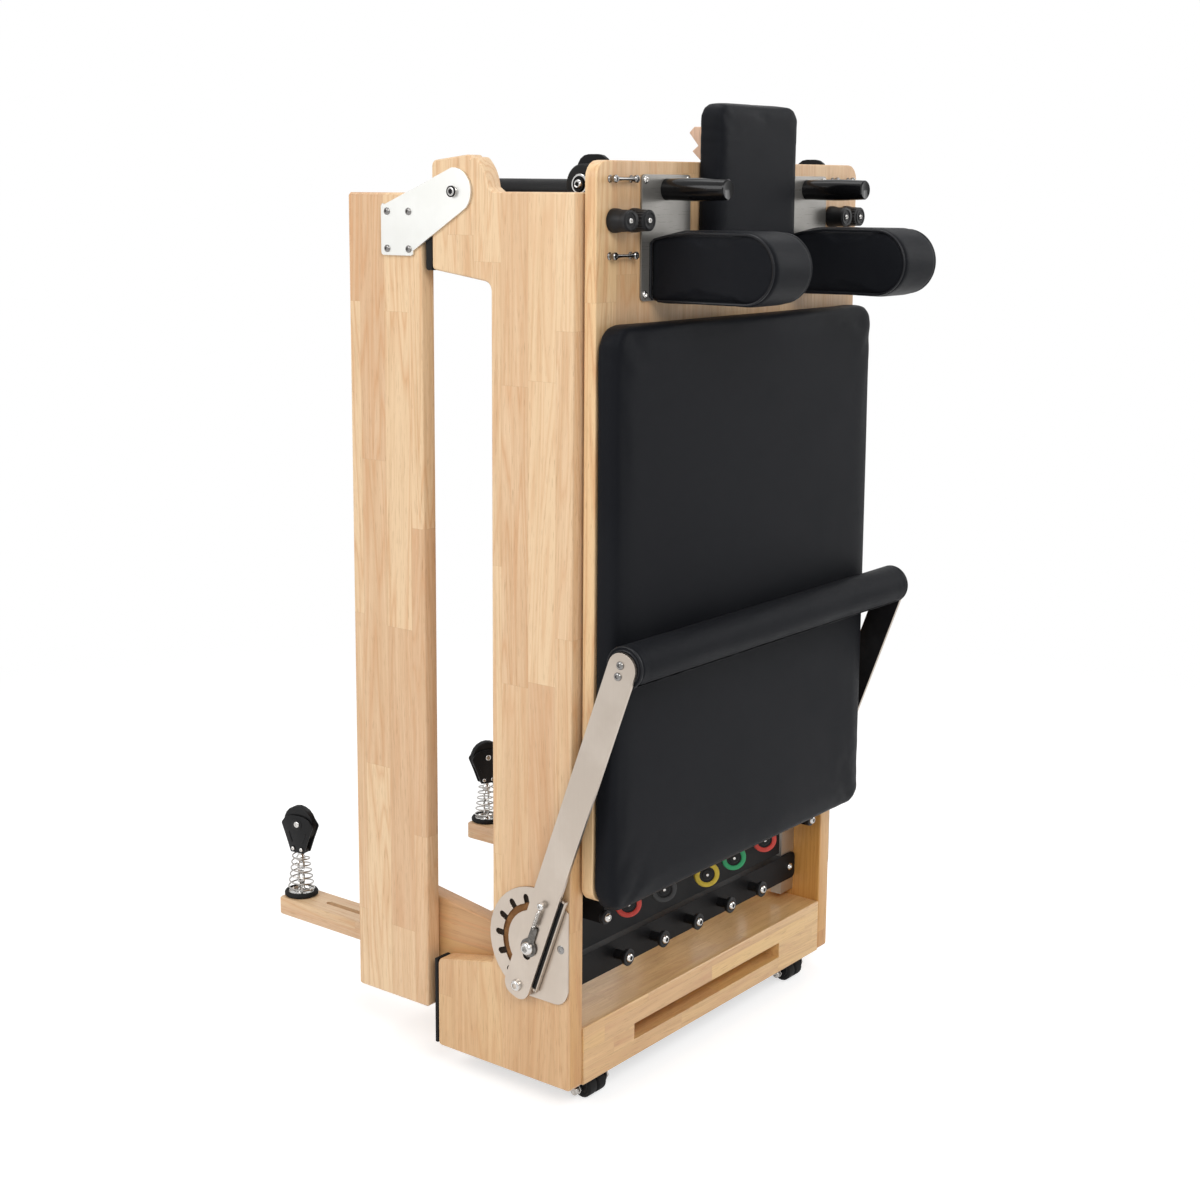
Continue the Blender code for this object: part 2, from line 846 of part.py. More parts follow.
def make_pulley(look, word, side, foot):
    """A rope pulley on its swivel: base, coil, block and sheave."""
    turn = blockTurn[side]
    block_foot = foot.z + pulleyBaseHeight + springHeight + 2 * clearance
    axle_z = block_foot + blockAxleHeight
    centre = Vector((foot.x, foot.y, axle_z))
    profile = [
        (0, foot.z),
        (pulleyBaseRadius, foot.z),
        (pulleyBaseRadius, foot.z + pulleyBaseHeight - 0.002),
        (pulleyBaseRadius - 0.002, foot.z + pulleyBaseHeight),
        (swivelPost, foot.z + pulleyBaseHeight),
        (swivelPost, block_foot + 0.002),
        (0, block_foot + 0.002),
    ]
    block = piece(
        "pulley_block_" + word,
        shape(turned, profile, "Z", (foot.x, foot.y, 0), 20),
        look["black plastic"],
        origin=foot,
        smooth=True,
    )
    inside = sheaveThickness / 2 + blockGap
    outside = inside + blockPlate
    yoke_top = axle_z - sheaveRadius - 0.001
    outline = [
        (foot.y - blockFootHalf, block_foot),
        (foot.y + blockFootHalf, block_foot),
        (foot.y + blockHalfWidth, axle_z - 0.002),
        (foot.y + blockHalfWidth * 0.86, axle_z + 0.006),
        (foot.y + 0.006, axle_z + blockTop),
        (foot.y - 0.006, axle_z + blockTop),
        (foot.y - blockHalfWidth * 0.86, axle_z + 0.006),
        (foot.y - blockHalfWidth, axle_z - 0.002),
    ]
    for tag, low, high in (("plate_a", -outside, -inside), ("plate_b", inside, outside)):
        plate = shape(prism, outline, "X", foot.x + low, foot.x + high)
        turn_about(plate, foot, turn)
        join(block, tag, plate)
    yoke = shape(
        box,
        (foot.x - inside - 0.001, foot.x + inside + 0.001),
        (foot.y - blockFootHalf + 0.001, foot.y + blockFootHalf - 0.001),
        (block_foot + 0.0005, yoke_top),
    )
    turn_about(yoke, foot, turn)
    join(block, "yoke", yoke)
    reach = outside + 0.0015
    axle = shape(cylinder, sheaveBore - pinClearance, "X", centre, -reach, reach, steps=10)
    turn_about(axle, foot, turn)
    join(block, "axle", axle)
    half = sheaveThickness / 2
    groove = sheaveRadius - 0.005
    ring = [
        (sheaveBore, -half),
        (sheaveRadius - 0.001, -half),
        (sheaveRadius, -half + 0.001),
        (groove, 0),
        (sheaveRadius, half - 0.001),
        (sheaveRadius - 0.001, half),
        (sheaveBore, half),
    ]
    sheave = shape(turned, ring, "X", centre, 20, True)
    turn_about(sheave, foot, turn)
    piece("sheave_" + word, sheave, look["black plastic"], origin=centre, smooth=True)
    make_coil(look, word, side, Vector((foot.x, foot.y, foot.z + pulleyBaseHeight + clearance)))


def make_coil(look, word, side, foot):
    points = spring_points()
    curve = bpy.data.curves.new("pulley_spring_" + word, "CURVE")
    curve.dimensions = "3D"
    curve.bevel_depth = springWire
    curve.bevel_resolution = 1
    curve.use_fill_caps = True
    spline = curve.splines.new("POLY")
    spline.points.add(len(points) - 1)
    for target, point in zip(spline.points, points):
        target.co = (point.x, point.y * side, point.z, 1)
    curve.materials.append(look["chrome"])
    coil = bpy.data.objects.new("pulley_spring_" + word, curve)
    coil.location = foot
    coil.parent = carrier
    bpy.context.scene.collection.objects.link(coil)
    print("pulley_spring_%s least gap %.2f mm" % (word, 1000 * least_gap(points, springWire)))


# Carriage


def make_board(look):
    half = halfWidth - boardMargin
    outline = rectangle(-half, half, boardFoot, boardTop, boardCorner, 5)
    piece("carriage_board", shape(prism, outline, "Y", boardFront, boardBack), look["veneer"], edge=0.001)
    back = boardFront - clearance
    front = back - cushionThickness
    levels = [
        (back, 0.003),
        (back - 0.006, 0.0008),
        (back - cushionThickness * 0.45, 0.0),
        (front + 0.012, 0.0012),
        (front + 0.005, 0.005),
        (front + 0.0012, 0.012),
        (front - cushionCrown * 0.3, 0.030),
        (front - cushionCrown * 0.7, 0.080),
        (front - cushionCrown, 0.170),
    ]
    cushion = shape(
        padded, "Y", (-half, half), (cushionFoot, cushionTop), [cushionCorner] * 4, levels, 6
    )
    piece("cushion", cushion, look["leather"], smooth=True)


def make_carriage_frame(look):
    """Two side bars under the board, with cross plates and the stubs that carry the wheels."""
    inner = halfWidth - frameBarPlace - frameBarThickness
    front = boardBack + clearance
    frame = None
    for word, side in sides.items():
        outline = rounded(
            [
                (front, barFoot, 0),
                (frameBarBack, barFoot, 0.006),
                (frameBarBack, boardTop - frameDrop, 0.010),
                (wheelY + frameTab, wheelHigh, 0.010),
                (wheelY + frameTab, wheelHigh + 0.038, 0.026),
                (front, wheelHigh + 0.038, 0.020),
            ],
            4,
        )
        bar = shape(prism, outline, "X", *span(side, frameBarPlace, frameBarPlace + frameBarThickness))
        if frame is None:
            frame = piece("carriage_frame", bar, look["black metal"], smooth=True)
        else:
            join(frame, "bar_" + word, bar)
    plate_back = frameBarBack
    plate_front = plate_back - crossPlateThickness
    for tag, low, high in (
        ("cross_plate", frameFoot + 0.001, frameFoot + crossPlateHeight),
        ("top_bar", boardTop - topBarDrop, boardTop - topBarDrop + topBarHeight),
    ):
        cross = shape(box, (-inner - 0.002, inner + 0.002), (plate_front, plate_back - 0.0005), (low, high))
        join(frame, tag, cross)
    near = wheelPlace - 2 * clearance
    far = wheelPlace + wheelWidth + 2 * clearance
    profile = [
        (0, near - axleHeadLength),
        (axleHead, near - axleHeadLength),
        (axleHead, near),
        (wheelStub, near),
        (wheelStub, far),
        (axleHead, far),
        (axleHead, frameBarPlace + 0.001),
        (0, frameBarPlace + 0.001),
    ]
    for word, side in sides.items():
        for tag, z in (("high", wheelHigh), ("low", wheelLow)):
            stub = shape(turned, from_rail(side, profile), "X", (0, wheelY, z), 12)
            join(frame, "stub_%s_%s" % (tag, word), stub)


def make_wheels(look):
    number = 0
    half = wheelWidth / 2
    profile = [
        (wheelBore, -half),
        (wheelRadius - 0.002, -half),
        (wheelRadius, -half + 0.002),
        (wheelRadius, half - 0.002),
        (wheelRadius - 0.002, half),
        (wheelBore, half),
    ]
    for z in (wheelHigh, wheelLow):
        for side in sides.values():
            number += 1
            centre = (across(side, wheelPlace + half), wheelY, z)
            wheel = shape(turned, profile, "X", centre, 24, True)
            piece("carriage_wheel_%d" % number, wheel, look["rubber"], origin=centre, smooth=True)


def make_springs(look):
    """Five coil springs hung under the carriage, each with a round eye at its lower end."""
    colors = ("red", "black plastic", "yellow", "green", "red")
    for number in range(bobbinCount):
        x = (number - (bobbinCount - 1) / 2) * coilSpacing + eyeShifts[number]
        eyeZ = eyeHeights[number]
        profile = [
            (0, eyeZ),
            (hookRadius, eyeZ),
            (hookRadius, coilFoot),
            (coilRadius, coilFoot + 0.006),
            (coilRadius, coilTop - 0.006),
            (hookRadius, coilTop),
            (hookRadius, anchorTop - 0.002),
            (0, anchorTop - 0.002),
        ]
        name = "spring_%d" % (number + 1)
        solid = shape(turned, profile, "Z", (x, coilY, 0), 14)
        spring = piece(name, solid, look[colors[number]], smooth=True)
        half = eyeThickness / 2
        ring = [
            (0, -half),
            (eyeRadius - 0.002, -half),
            (eyeRadius, -half + 0.002),
            (eyeRadius, half - 0.002),
            (eyeRadius - 0.002, half),
            (0, half),
        ]
        eye = shape(turned, ring, "Y", (x, coilY, eyeZ), 18)
        turn_about(eye, (x, coilY, 0), -eyeTurn)
        join(spring, "eye", eye)
        anchor = shape(
            box,
            (x - anchorWidth / 2, x + anchorWidth / 2),
            (boardBack + clearance, coilY + 0.006),
            (anchorTop - anchorHeight, anchorTop),
        )
        join(spring, "anchor", anchor)


def make_shoulder_rests(look):
    for word, side in sides.items():
        back = boardFront - clearance
        front = back - plateThickness
        wide = span(side, plateLeft, plateLeft + plateWidth)
        outline = rectangle(*wide, plateFoot, plateTop, plateCorner, 3)
        piece("shoulder_plate_" + word, shape(prism, outline, "Y", front, back), look["steel"])
        make_shoulder_pad(look, word, side, front - clearance)
        make_grip(look, word, side, front - clearance)
        make_cams(look, word, side, back)


def make_shoulder_pad(look, word, side, back):
    low, high = span(side, shoulderLeft, shoulderLeft + shoulderWidth)
    levels = [
        (low + 0.0030, 0.030),
        (low + 0.0012, 0.014),
        (low + 0.0020, 0.006),
        (low + 0.0070, 0.0010),
        (low + shoulderWidth * 0.5, 0.0),
        (high - 0.0070, 0.0010),
        (high - 0.0020, 0.006),
        (high - 0.0012, 0.014),
        (high - 0.0030, 0.030),
    ]
    radii = [shoulderRound, shoulderHeel, shoulderNape, shoulderRound]
    mesh = shape(
        padded,
        "X",
        (-shoulderReach, back),
        (plateFoot - shoulderHang, plateFoot - shoulderHang + shoulderHeight),
        radii,
        levels,
        5,
    )
    piece("shoulder_pad_" + word, mesh, look["leather"], smooth=True)


def make_grip(look, word, side, back):
    middle = (back - gripReach) / 2
    profile = [
        (0, back),
        (gripRadius, back),
        (gripRadius + gripBulge * 0.8, back + (middle - back) * 0.5),
        (gripRadius + gripBulge, middle),
        (gripRadius + gripBulge * 0.5, -gripReach + 0.014),
        (gripRadius - 0.001, -gripReach + 0.001),
        (gripRadius - 0.002, -gripReach),
        (0, -gripReach),
    ]
    grip = shape(turned, profile, "Y", (across(side, gripPlace), 0, gripZ), 20)
    piece("handle_" + word, grip, look["gloss plastic"], smooth=True)


def cam_outline(x, towards):
    """A round cam with a toothed lobe on the side of its neighbour."""
    points = arc((0, 0), camRadius, 60, 300, 12)
    lobe = 120 / (2 * camTeeth)
    for tooth in range(2 * camTeeth - 1):
        angle = math.radians(-60 + lobe * (tooth + 1))
        radius = camLobe if tooth % 2 == 0 else camLobe - 0.002
        points.append((radius * math.cos(angle), radius * math.sin(angle)))
    return [(x + towards * a, camZ + b) for a, b in points]


def make_cams(look, word, side, back):
    names = ("outer", "inner")
    for name, place, towards in zip(names, camPlaces, (-side, side)):
        x = across(side, place)
        cam = shape(prism, cam_outline(x, towards), "Y", back - camHeight, back)
        piece("cam_%s_%s" % (word, name), cam, look["black plastic"], origin=(x, back, camZ))


def make_headrest(look):
    half = headrestWidth / 2
    back = boardFront - clearance
    front = -headrestFront
    pivot = (0, back - headrestBackRound, headrestFoot + headrestBackRound)
    levels = [
        (back, headrestBackRound),
        (back - 0.002, 0.002),
        (back - headrestBackRound, 0.0),
        (front + 0.014, 0.0),
        (front + 0.006, 0.0030),
        (front + 0.0015, 0.010),
        (front, 0.024),
    ]
    radii = [headrestCorner] * 4
    mesh = shape(padded, "Y", (-half, half), (headrestFoot, headrestTop), radii, levels, 4)
    piece("headrest", mesh, look["leather"], origin=pivot, smooth=True)
    hinge = (-propHingeY, propHingeZ)
    foot = boardTop + 3 * clearance
    outline = (
        arc(hinge, propHingeRadius, 90, 180, 5)
        + [
            (hinge[0] - propHingeRadius, foot),
            (hinge[0] + propFootLength, foot),
            *((hinge[0] + y, hinge[1] + z) for y, z in (propToothLow, propValley, propToothHigh)),
            (hinge[0] + propTopLength, hinge[1] + propTopThickness),
            (hinge[0] + propTopLength * 0.76, hinge[1] + propTopThickness),
        ]
    )
    prop = shape(prism, outline, "X", -propWidth / 2, propWidth / 2)
    piece("headrest_prop", prop, look["wood"], origin=(0, *hinge))


# Foot bar


def along_arm(out, sideways=0.0):
    """A point (y, z) this far from the pivot towards the bar, and sideways towards the front."""
    lean = math.radians(barLean)
    y = barPivotY - out * math.sin(lean) - sideways * math.cos(lean)
    z = barPivotZ + out * math.cos(lean) - sideways * math.sin(lean)
    return y, z


def arm_strip(near, far, half, near_round, far_round):
    """A strip along the arm, its ends rounded by arcs of these radii."""
    corners = [
        (*along_arm(near, -half), near_round),
        (*along_arm(far, -half), far_round),
        (*along_arm(far, half), far_round),
        (*along_arm(near, half), near_round),
    ]
    return rounded(corners, 6)


def make_foot_bar(look):
    pivot = (0, barPivotY, barPivotZ)
    for word, side in sides.items():
        inner = -armInner
        near = -(latchReach + armFootRound)
        outline = arm_strip(near, barReach + armTopRound, armWidth / 2, armFootRound, armTopRound)
        arm = piece(
            "footbar_arm_" + word,
            shape(prism, outline, "X", *span(side, -inner - armThickness, -inner)),
            look["steel"],
            origin=pivot,
        )
        half = armSlotWidth / 2
        slot = arm_strip(-liftTravel - half, half, half, half * 0.98, half * 0.98)
        cut(arm, "lift_slot", shape(prism, slot, "X", *span(side, -inner - 0.02, -inner + 0.02)))
        y, z = along_arm(-latchReach)
        pin_end = -(2 * clearance + gearThickness)
        face = inner + armThickness
        pin = shape(cylinder, latchPin, "X", (0, y, z), *span(side, -face - 0.001, pin_end), steps=12)
        join(arm, "latch_pin", pin)
        ends = span(side, -face - latchHeadHeight, -face + 0.001)
        head = shape(cylinder, latchHead, "X", (0, y, z), *ends, steps=14)
        join(arm, "latch_head", head)
        make_pivot(look, word, side, pivot)
    y, z = along_arm(barReach)
    end = halfWidth - armInner - clearance
    profile = [
        (0, -end),
        (barRadius - barEndRound, -end),
        (barRadius - barEndRound * 0.3, -end + barEndRound * 0.3),
        (barRadius, -end + barEndRound),
        (barRadius, end - barEndRound),
        (barRadius - barEndRound * 0.3, end - barEndRound * 0.3),
        (barRadius - barEndRound, end),
        (0, end),
    ]
    solid = shape(turned, profile, "X", (0, y, z), 24)
    piece("footbar_pad", solid, look["leather"], origin=pivot, smooth=True)


def make_pivot(look, word, side, pivot):
    """The bolt that an arm turns and slides on, with its spacer and the lever of the return spring."""
    plate = clearance * 2 + gearThickness
    inner = -armInner
    outer = inner + armThickness
    lever_face = outer + clearance + leverThickness
    profile = [
        (0, pivotDepth),
        (pivotRadius, pivotDepth),
        (pivotRadius, -plate),
        (spacerRadius, -plate),
        (spacerRadius, -inner + clearance),
        (pivotRadius, -inner + clearance),
        (pivotRadius, -outer - clearance),
        (pivotHead, -outer - clearance),
        (pivotHead, -lever_face - pivotHeadHeight * 0.5),
        (pivotHead * 0.5, -lever_face - pivotHeadHeight),
        (0, -lever_face - pivotHeadHeight),
    ]
    bolt = piece(
        "footbar_pivot_" + word,
        shape(turned, from_rail(side, profile), "X", (0, barPivotY, barPivotZ), 20),
        look["chrome"],
        origin=pivot,
        smooth=True,
    )
    outline = arm_strip(0, leverLength, leverWidth / 2, 0.001, leverWidth * 0.45)
    lever = shape(prism, outline, "X", *span(side, -lever_face + 0.0005, -outer - clearance))
    join(bolt, "lever", lever)


def main():
    global carrier
    clear_scene()
    carrier = bpy.data.objects.new("reformer", None)
    bpy.context.scene.collection.objects.link(carrier)
    look = {
        "wood": finish("rubberwood", (0.68, 0.45, 0.24), 0.45),
        "veneer": finish("veneer", (0.70, 0.48, 0.27), 0.42),
        "leather": finish("black leather", (0.012, 0.013, 0.016), 0.45),
        "rubber": finish("black rubber", (0.02, 0.02, 0.02), 0.75),
        "black metal": finish("black painted steel", (0.015, 0.015, 0.015), 0.5),
        "black plastic": finish("black plastic", (0.018, 0.018, 0.018), 0.5),
        "gloss plastic": finish("black gloss plastic", (0.01, 0.01, 0.01), 0.2),
        "steel": finish("brushed steel", (0.62, 0.58, 0.53), 0.32, 1.0),
        "bright steel": finish("bright brushed steel", (0.82, 0.80, 0.76), 0.35, 1.0),
        "chrome": finish("chrome", (0.75, 0.74, 0.72), 0.15, 1.0),
        "red": finish("red rubber", (0.60, 0.03, 0.02), 0.55),
        "yellow": finish("yellow rubber", (0.65, 0.45, 0.02), 0.55),
        "green": finish("green rubber", (0.0, 0.30, 0.10), 0.55),
    }
    make_foot_half(look)
    make_hinge_tube(look)
    make_spring_bar(look)
    make_gear_plates(look)
    make_casters(look)
    make_head_half(look)
    make_risers(look)
    make_board(look)
    make_carriage_frame(look)
    make_wheels(look)
    make_springs(look)
    make_shoulder_rests(look)
    make_headrest(look)
    make_foot_bar(look)
    carrier.location = (0, -(backReach - shoulderReach) / 2, -floorZ)
    print("origin in the frame's place: y %.6f, z %.6f" % ((backReach - shoulderReach) / 2, floorZ))


main()
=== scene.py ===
import functools
import json
import math

import bmesh
import bpy
from mathutils import Matrix, Vector, noise


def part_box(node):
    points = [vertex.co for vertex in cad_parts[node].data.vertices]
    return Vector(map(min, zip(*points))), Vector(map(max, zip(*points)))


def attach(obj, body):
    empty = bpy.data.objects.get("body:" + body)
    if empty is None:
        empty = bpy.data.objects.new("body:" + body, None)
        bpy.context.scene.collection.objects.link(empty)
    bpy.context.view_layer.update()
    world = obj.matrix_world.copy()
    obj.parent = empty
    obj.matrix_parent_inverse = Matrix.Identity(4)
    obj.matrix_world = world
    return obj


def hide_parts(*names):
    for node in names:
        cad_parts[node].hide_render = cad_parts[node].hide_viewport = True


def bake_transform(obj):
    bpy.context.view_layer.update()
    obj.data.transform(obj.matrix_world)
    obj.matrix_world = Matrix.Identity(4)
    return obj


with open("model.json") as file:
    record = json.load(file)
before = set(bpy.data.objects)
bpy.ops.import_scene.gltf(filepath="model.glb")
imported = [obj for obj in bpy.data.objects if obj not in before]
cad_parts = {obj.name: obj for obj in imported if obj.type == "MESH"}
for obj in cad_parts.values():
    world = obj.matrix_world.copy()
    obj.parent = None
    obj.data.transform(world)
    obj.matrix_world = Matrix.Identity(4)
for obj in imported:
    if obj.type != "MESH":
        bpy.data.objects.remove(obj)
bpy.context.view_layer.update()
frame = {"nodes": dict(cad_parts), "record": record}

# Places below are in metres: x from the middle plane, y from the front face of the foot half's rails
# towards the back, z from the lower end of those rails. This is what carries them to the frame's own origin.
toFrame = Vector((0, -0.22125, 0.036))
sides = (("left", "Left", -1), ("right", "Right", 1))
halfWidth = 0.3325
hingeY = 0.199
pivotY, pivotZ = 0.059, 0.198
camZ = 1.165
bobbinPlaces, bobbinZ = [(i - 2) * 0.086 for i in range(5)], 0.136
toFront, toBack, upward = (0, -1, 0), (0, 1, 0), (0, 0, 1)
oneSpot = 1e-6  # corners closer than this are one


def fromRail(side, depth):
    return side * (halfWidth - depth)


def span(side, near, far):
    return sorted((fromRail(side, near), fromRail(side, far)))


# Meshes


def finishPiece(name, bm, material, body, smooth=35, placed=False, node=None, slot=None):
    # smooth is the sharpest angle in degrees that is shaded round, node the solid that the piece stands for
    bmesh.ops.remove_doubles(bm, verts=bm.verts, dist=oneSpot)
    bmesh.ops.recalc_face_normals(bm, faces=bm.faces)
    if not placed:
        bmesh.ops.translate(bm, verts=bm.verts, vec=toFrame)
    mesh = bpy.data.meshes.new(name)
    bm.to_mesh(mesh)
    bm.free()
    piece = bpy.data.objects.new(name, mesh)
    bpy.context.scene.collection.objects.link(piece)
    if material:
        mesh.materials.append(material)
    if smooth:
        mesh.shade_smooth()
        mesh.set_sharp_from_angle(angle=math.radians(smooth))
    if body:
        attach(piece, body)
    if node:
        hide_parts(node)
    return piece


def build(name, material, body, *shapes, **more):
    # each shape is one of the functions below, followed by what it takes after the mesh
    bm = bmesh.new()
    for shape, *values in shapes:
        shape(bm, *values)
    return finishPiece(name, bm, material, body, **more)


def turnAndMove(bm, turn, place):
    bmesh.ops.rotate(bm, verts=bm.verts, cent=(0, 0, 0), matrix=turn)
    bmesh.ops.translate(bm, verts=bm.verts, vec=Vector(place))


def bevelEdges(bm, edges, width, segments):
    bmesh.ops.bevel(bm, geom=edges, offset=width, offset_type="OFFSET", segments=segments, profile=0.5,
                    affect="EDGES", clamp_overlap=True, material=-1)


def mirrored(profile):
    return [(radius, -along) for radius, along in reversed(profile)]


def turnTo(axis):
    return Vector((0, 0, 1)).rotation_difference(Vector(axis).normalized()).to_matrix()


def join(bm, part):
    # carries a finished shape over into the piece's own mesh
    mesh = bpy.data.meshes.new("part")
    part.to_mesh(mesh)
    part.free()
    bm.from_mesh(mesh)
    bpy.data.meshes.remove(mesh)


def lathe(bm, profile, centre, axis, steps=32):
    # profile: (radius, place along the axis), from one end to the other
    part = bmesh.new()
    verts = [part.verts.new((radius, 0, along)) for radius, along in profile]
    edges = [part.edges.new(pair) for pair in zip(verts, verts[1:])]
    bmesh.ops.spin(part, geom=verts + edges, cent=(0, 0, 0), axis=(0, 0, 1), angle=2 * math.pi, steps=steps,
                   use_merge=True)
    bmesh.ops.remove_doubles(part, verts=part.verts, dist=oneSpot)
    turnAndMove(part, turnTo(axis), centre)
    join(bm, part)


def block(bm, low, high, bevel=0.0):
    low, high = Vector(low), Vector(high)
    part = bmesh.new()
    made = bmesh.ops.create_cube(part, size=1)["verts"]
    bmesh.ops.scale(part, verts=made, vec=high - low)
    bmesh.ops.translate(part, verts=made, vec=(low + high) / 2)
    if bevel:
        bevelEdges(part, part.edges, bevel, 2)
    join(bm, part)


def disc(bm, outline, axis, low, high, bevel=0.0, segments=2):
    # a flat plate from its outline in the plane square to the axis
    def point(a, b, c):
        return {"x": (c, a, b), "y": (a, c, b), "z": (a, b, c)}[axis]

    part = bmesh.new()
    verts = [part.verts.new(point(a, b, low)) for a, b in outline]
    face = part.faces.new(verts)
    grown = bmesh.ops.extrude_face_region(part, geom=[face])["geom"]
    moved = [g for g in grown if isinstance(g, bmesh.types.BMVert)]
    bmesh.ops.translate(part, verts=moved, vec=Vector(point(0, 0, high - low)))
    bmesh.ops.recalc_face_normals(part, faces=part.faces)
    if bevel:
        rims = [e for e in part.edges if (e.verts[0] in verts) == (e.verts[1] in verts)]
        bevelEdges(part, rims, bevel, segments)
    join(bm, part)


def circleArc(centre, radius, start, end, steps):
    angles = [math.radians(start + (end - start) * i / steps) for i in range(steps + 1)]
    return [(centre[0] + radius * math.cos(angle), centre[1] + radius * math.sin(angle)) for angle in angles]


def roundedBox(low, high, radius, steps):
    left, right, bottom, top = low[0] + radius, high[0] - radius, low[1] + radius, high[1] - radius
    points = []
    for centre, start in (((right, bottom), -90), ((right, top), 0), ((left, top), 90), ((left, bottom), 180)):
        points += circleArc(centre, radius, start, start + 90, steps)
    return points


def tube(bm, path, radius, sides=8, closed=False):
    # a round wire along a list of points
    part = bmesh.new()
    rings = []
    count = len(path)
    normal = None
    for i, point in enumerate(path):
        before = path[i - 1] if (i or closed) else point
        after = path[(i + 1) % count] if (i + 1 < count or closed) else point
        ahead = (after - before).normalized()
        if normal is None:
            normal = ahead.orthogonal().normalized()
        normal = (normal - ahead * normal.dot(ahead)).normalized()
        across = normal.cross(ahead)
        matrix = Matrix((across, normal, ahead)).transposed().to_4x4()
        matrix.translation = point
        ring = bmesh.ops.create_circle(part, segments=sides, radius=radius, matrix=matrix)["verts"]
        rings.append(list({e for v in ring for e in v.link_edges}))
    pairs = list(zip(rings, rings[1:]))
    if closed:
        pairs.append((rings[-1], rings[0]))
    for a, b in pairs:
        bmesh.ops.bridge_loops(part, edges=a + b)
    if not closed:
        for ring in (rings[0], rings[-1]):
            bmesh.ops.edgeloop_fill(part, edges=ring)
    join(bm, part)


def screwHead(bm, centre, axis, radius, height, socket=0.5):
    # a button head with a hexagonal socket, its seat at the centre given
    part = bmesh.new()
    base = bmesh.ops.create_circle(part, segments=24, radius=radius)["verts"]
    rings = [list({e for v in base for e in v.link_edges})]

    def grow(shape, lift):
        grown = bmesh.ops.extrude_edge_only(part, edges=rings[-1])["geom"]
        verts = [g for g in grown if isinstance(g, bmesh.types.BMVert)]
        rings.append([g for g in grown if isinstance(g, bmesh.types.BMEdge) and all(v in verts for v in g.verts)])
        for v in verts:
            angle = math.atan2(v.co.y, v.co.x)
            away = radius * shape(angle)
            v.co = Vector((away * math.cos(angle), away * math.sin(angle), lift * height))

    def hexagon(angle):
        return socket * math.cos(math.pi / 6) / math.cos((angle % (math.pi / 3)) - math.pi / 6)

    for share, lift in ((1.0, 0.22), (0.95, 0.52), (0.82, 0.80), (0.66, 0.95), (0.6, 1.0)):
        grow(lambda angle, share=share: share, lift)
    grow(hexagon, 0.98)
    grow(hexagon, 0.45)
    bmesh.ops.edgeloop_fill(part, edges=rings[-1])
    turnAndMove(part, turnTo(axis), centre)
    join(bm, part)


def dress(node, material, bevel=0.0, smooth=60):
    # a copy of a CAD node with its triangles merged and its edges eased, in the node's place
    flat, sharp = math.radians(0.5), math.radians(40)
    bm = bmesh.new()
    bm.from_mesh(frame["nodes"][node].data)
    bmesh.ops.remove_doubles(bm, verts=bm.verts, dist=2 * oneSpot)
    bmesh.ops.dissolve_limit(bm, angle_limit=flat, verts=bm.verts, edges=bm.edges)
    if bevel:
        edges = [e for e in bm.edges if len(e.link_faces) == 2 and e.calc_face_angle(0) > sharp]
        bevelEdges(bm, edges, bevel, 2)
    name = "".join(part.capitalize() if i else part for i, part in enumerate(node.split("_")))
    piece = finishPiece(name, bm, material, bodyOf[node], smooth, placed=True, node=node)
    piece.modifiers.new("flat faces", "WEIGHTED_NORMAL").keep_sharp = True


bodyOf = {node: body for body, nodes in frame["record"]["behaviour"]["bodies"].items() for node in nodes}
print("frame loaded:", len(frame["nodes"]), "nodes")


# Node groups that the materials share


def newGroup(name, inputs, outputs):
    # each input is a name with its value: a number, a colour, or none for a place
    group = bpy.data.node_groups.new(name, "ShaderNodeTree")
    for label, value in inputs.items():
        kind = "Vector" if value is None else "Color" if isinstance(value, tuple) else "Float"
        socket = group.interface.new_socket(label, in_out="INPUT", socket_type="NodeSocket" + kind)
        if value is not None:
            socket.default_value = value
    for label in outputs:
        kind = "Color" if label == "Color" else "Float"
        group.interface.new_socket(label, in_out="OUTPUT", socket_type="NodeSocket" + kind)
    return group, group.nodes.new("NodeGroupInput").outputs, group.nodes.new("NodeGroupOutput")


def connect(tree, value, target):
    # links another node's output, or sets a plain value
    if isinstance(value, bpy.types.NodeSocket):
        tree.links.new(value, target)
    else:
        target.default_value = value


def addNode(tree, kind, links=None, **settings):
    node = tree.nodes.new(kind)
    for key, value in settings.items():
        setattr(node, key, value)
    for socket, value in (links or {}).items():
        connect(tree, value, node.inputs[socket])
    return node


def compute(tree, operation, a, b=None, c=None, clamp=False):
    links = {i: value for i, value in enumerate((a, b, c)) if value is not None}
    return addNode(tree, "ShaderNodeMath", links, operation=operation, use_clamp=clamp).outputs[0]


def mixColor(tree, factor, a, b, blend="MIX"):
    links = {0: factor, 6: a, 7: b}
    return addNode(tree, "ShaderNodeMix", links, data_type="RGBA", blend_type=blend).outputs[2]


def noiseTexture(tree, vector, scale, detail, **more):
    links = {"Vector": vector, "Scale": scale, "Detail": detail, **more}
    return addNode(tree, "ShaderNodeTexNoise", links).outputs[0]


def sendOut(tree, result, **values):
    # an underscore in a label stands for its blank
    for label, value in values.items():
        tree.links.new(value, result.inputs[label.replace("_", " ")])


def ramp(tree, value, stops, smooth=False):
    node = addNode(tree, "ShaderNodeValToRGB", {0: value})
    node.color_ramp.interpolation = "EASE" if smooth else "LINEAR"
    elements = node.color_ramp.elements
    while len(elements) < len(stops):
        elements.new(0.5)
    for element, (position, level) in zip(elements, stops):
        element.position = position
        element.color = (level, level, level, 1)
    return node.outputs["Color"]


def grey(value):
    return (value, value, value)


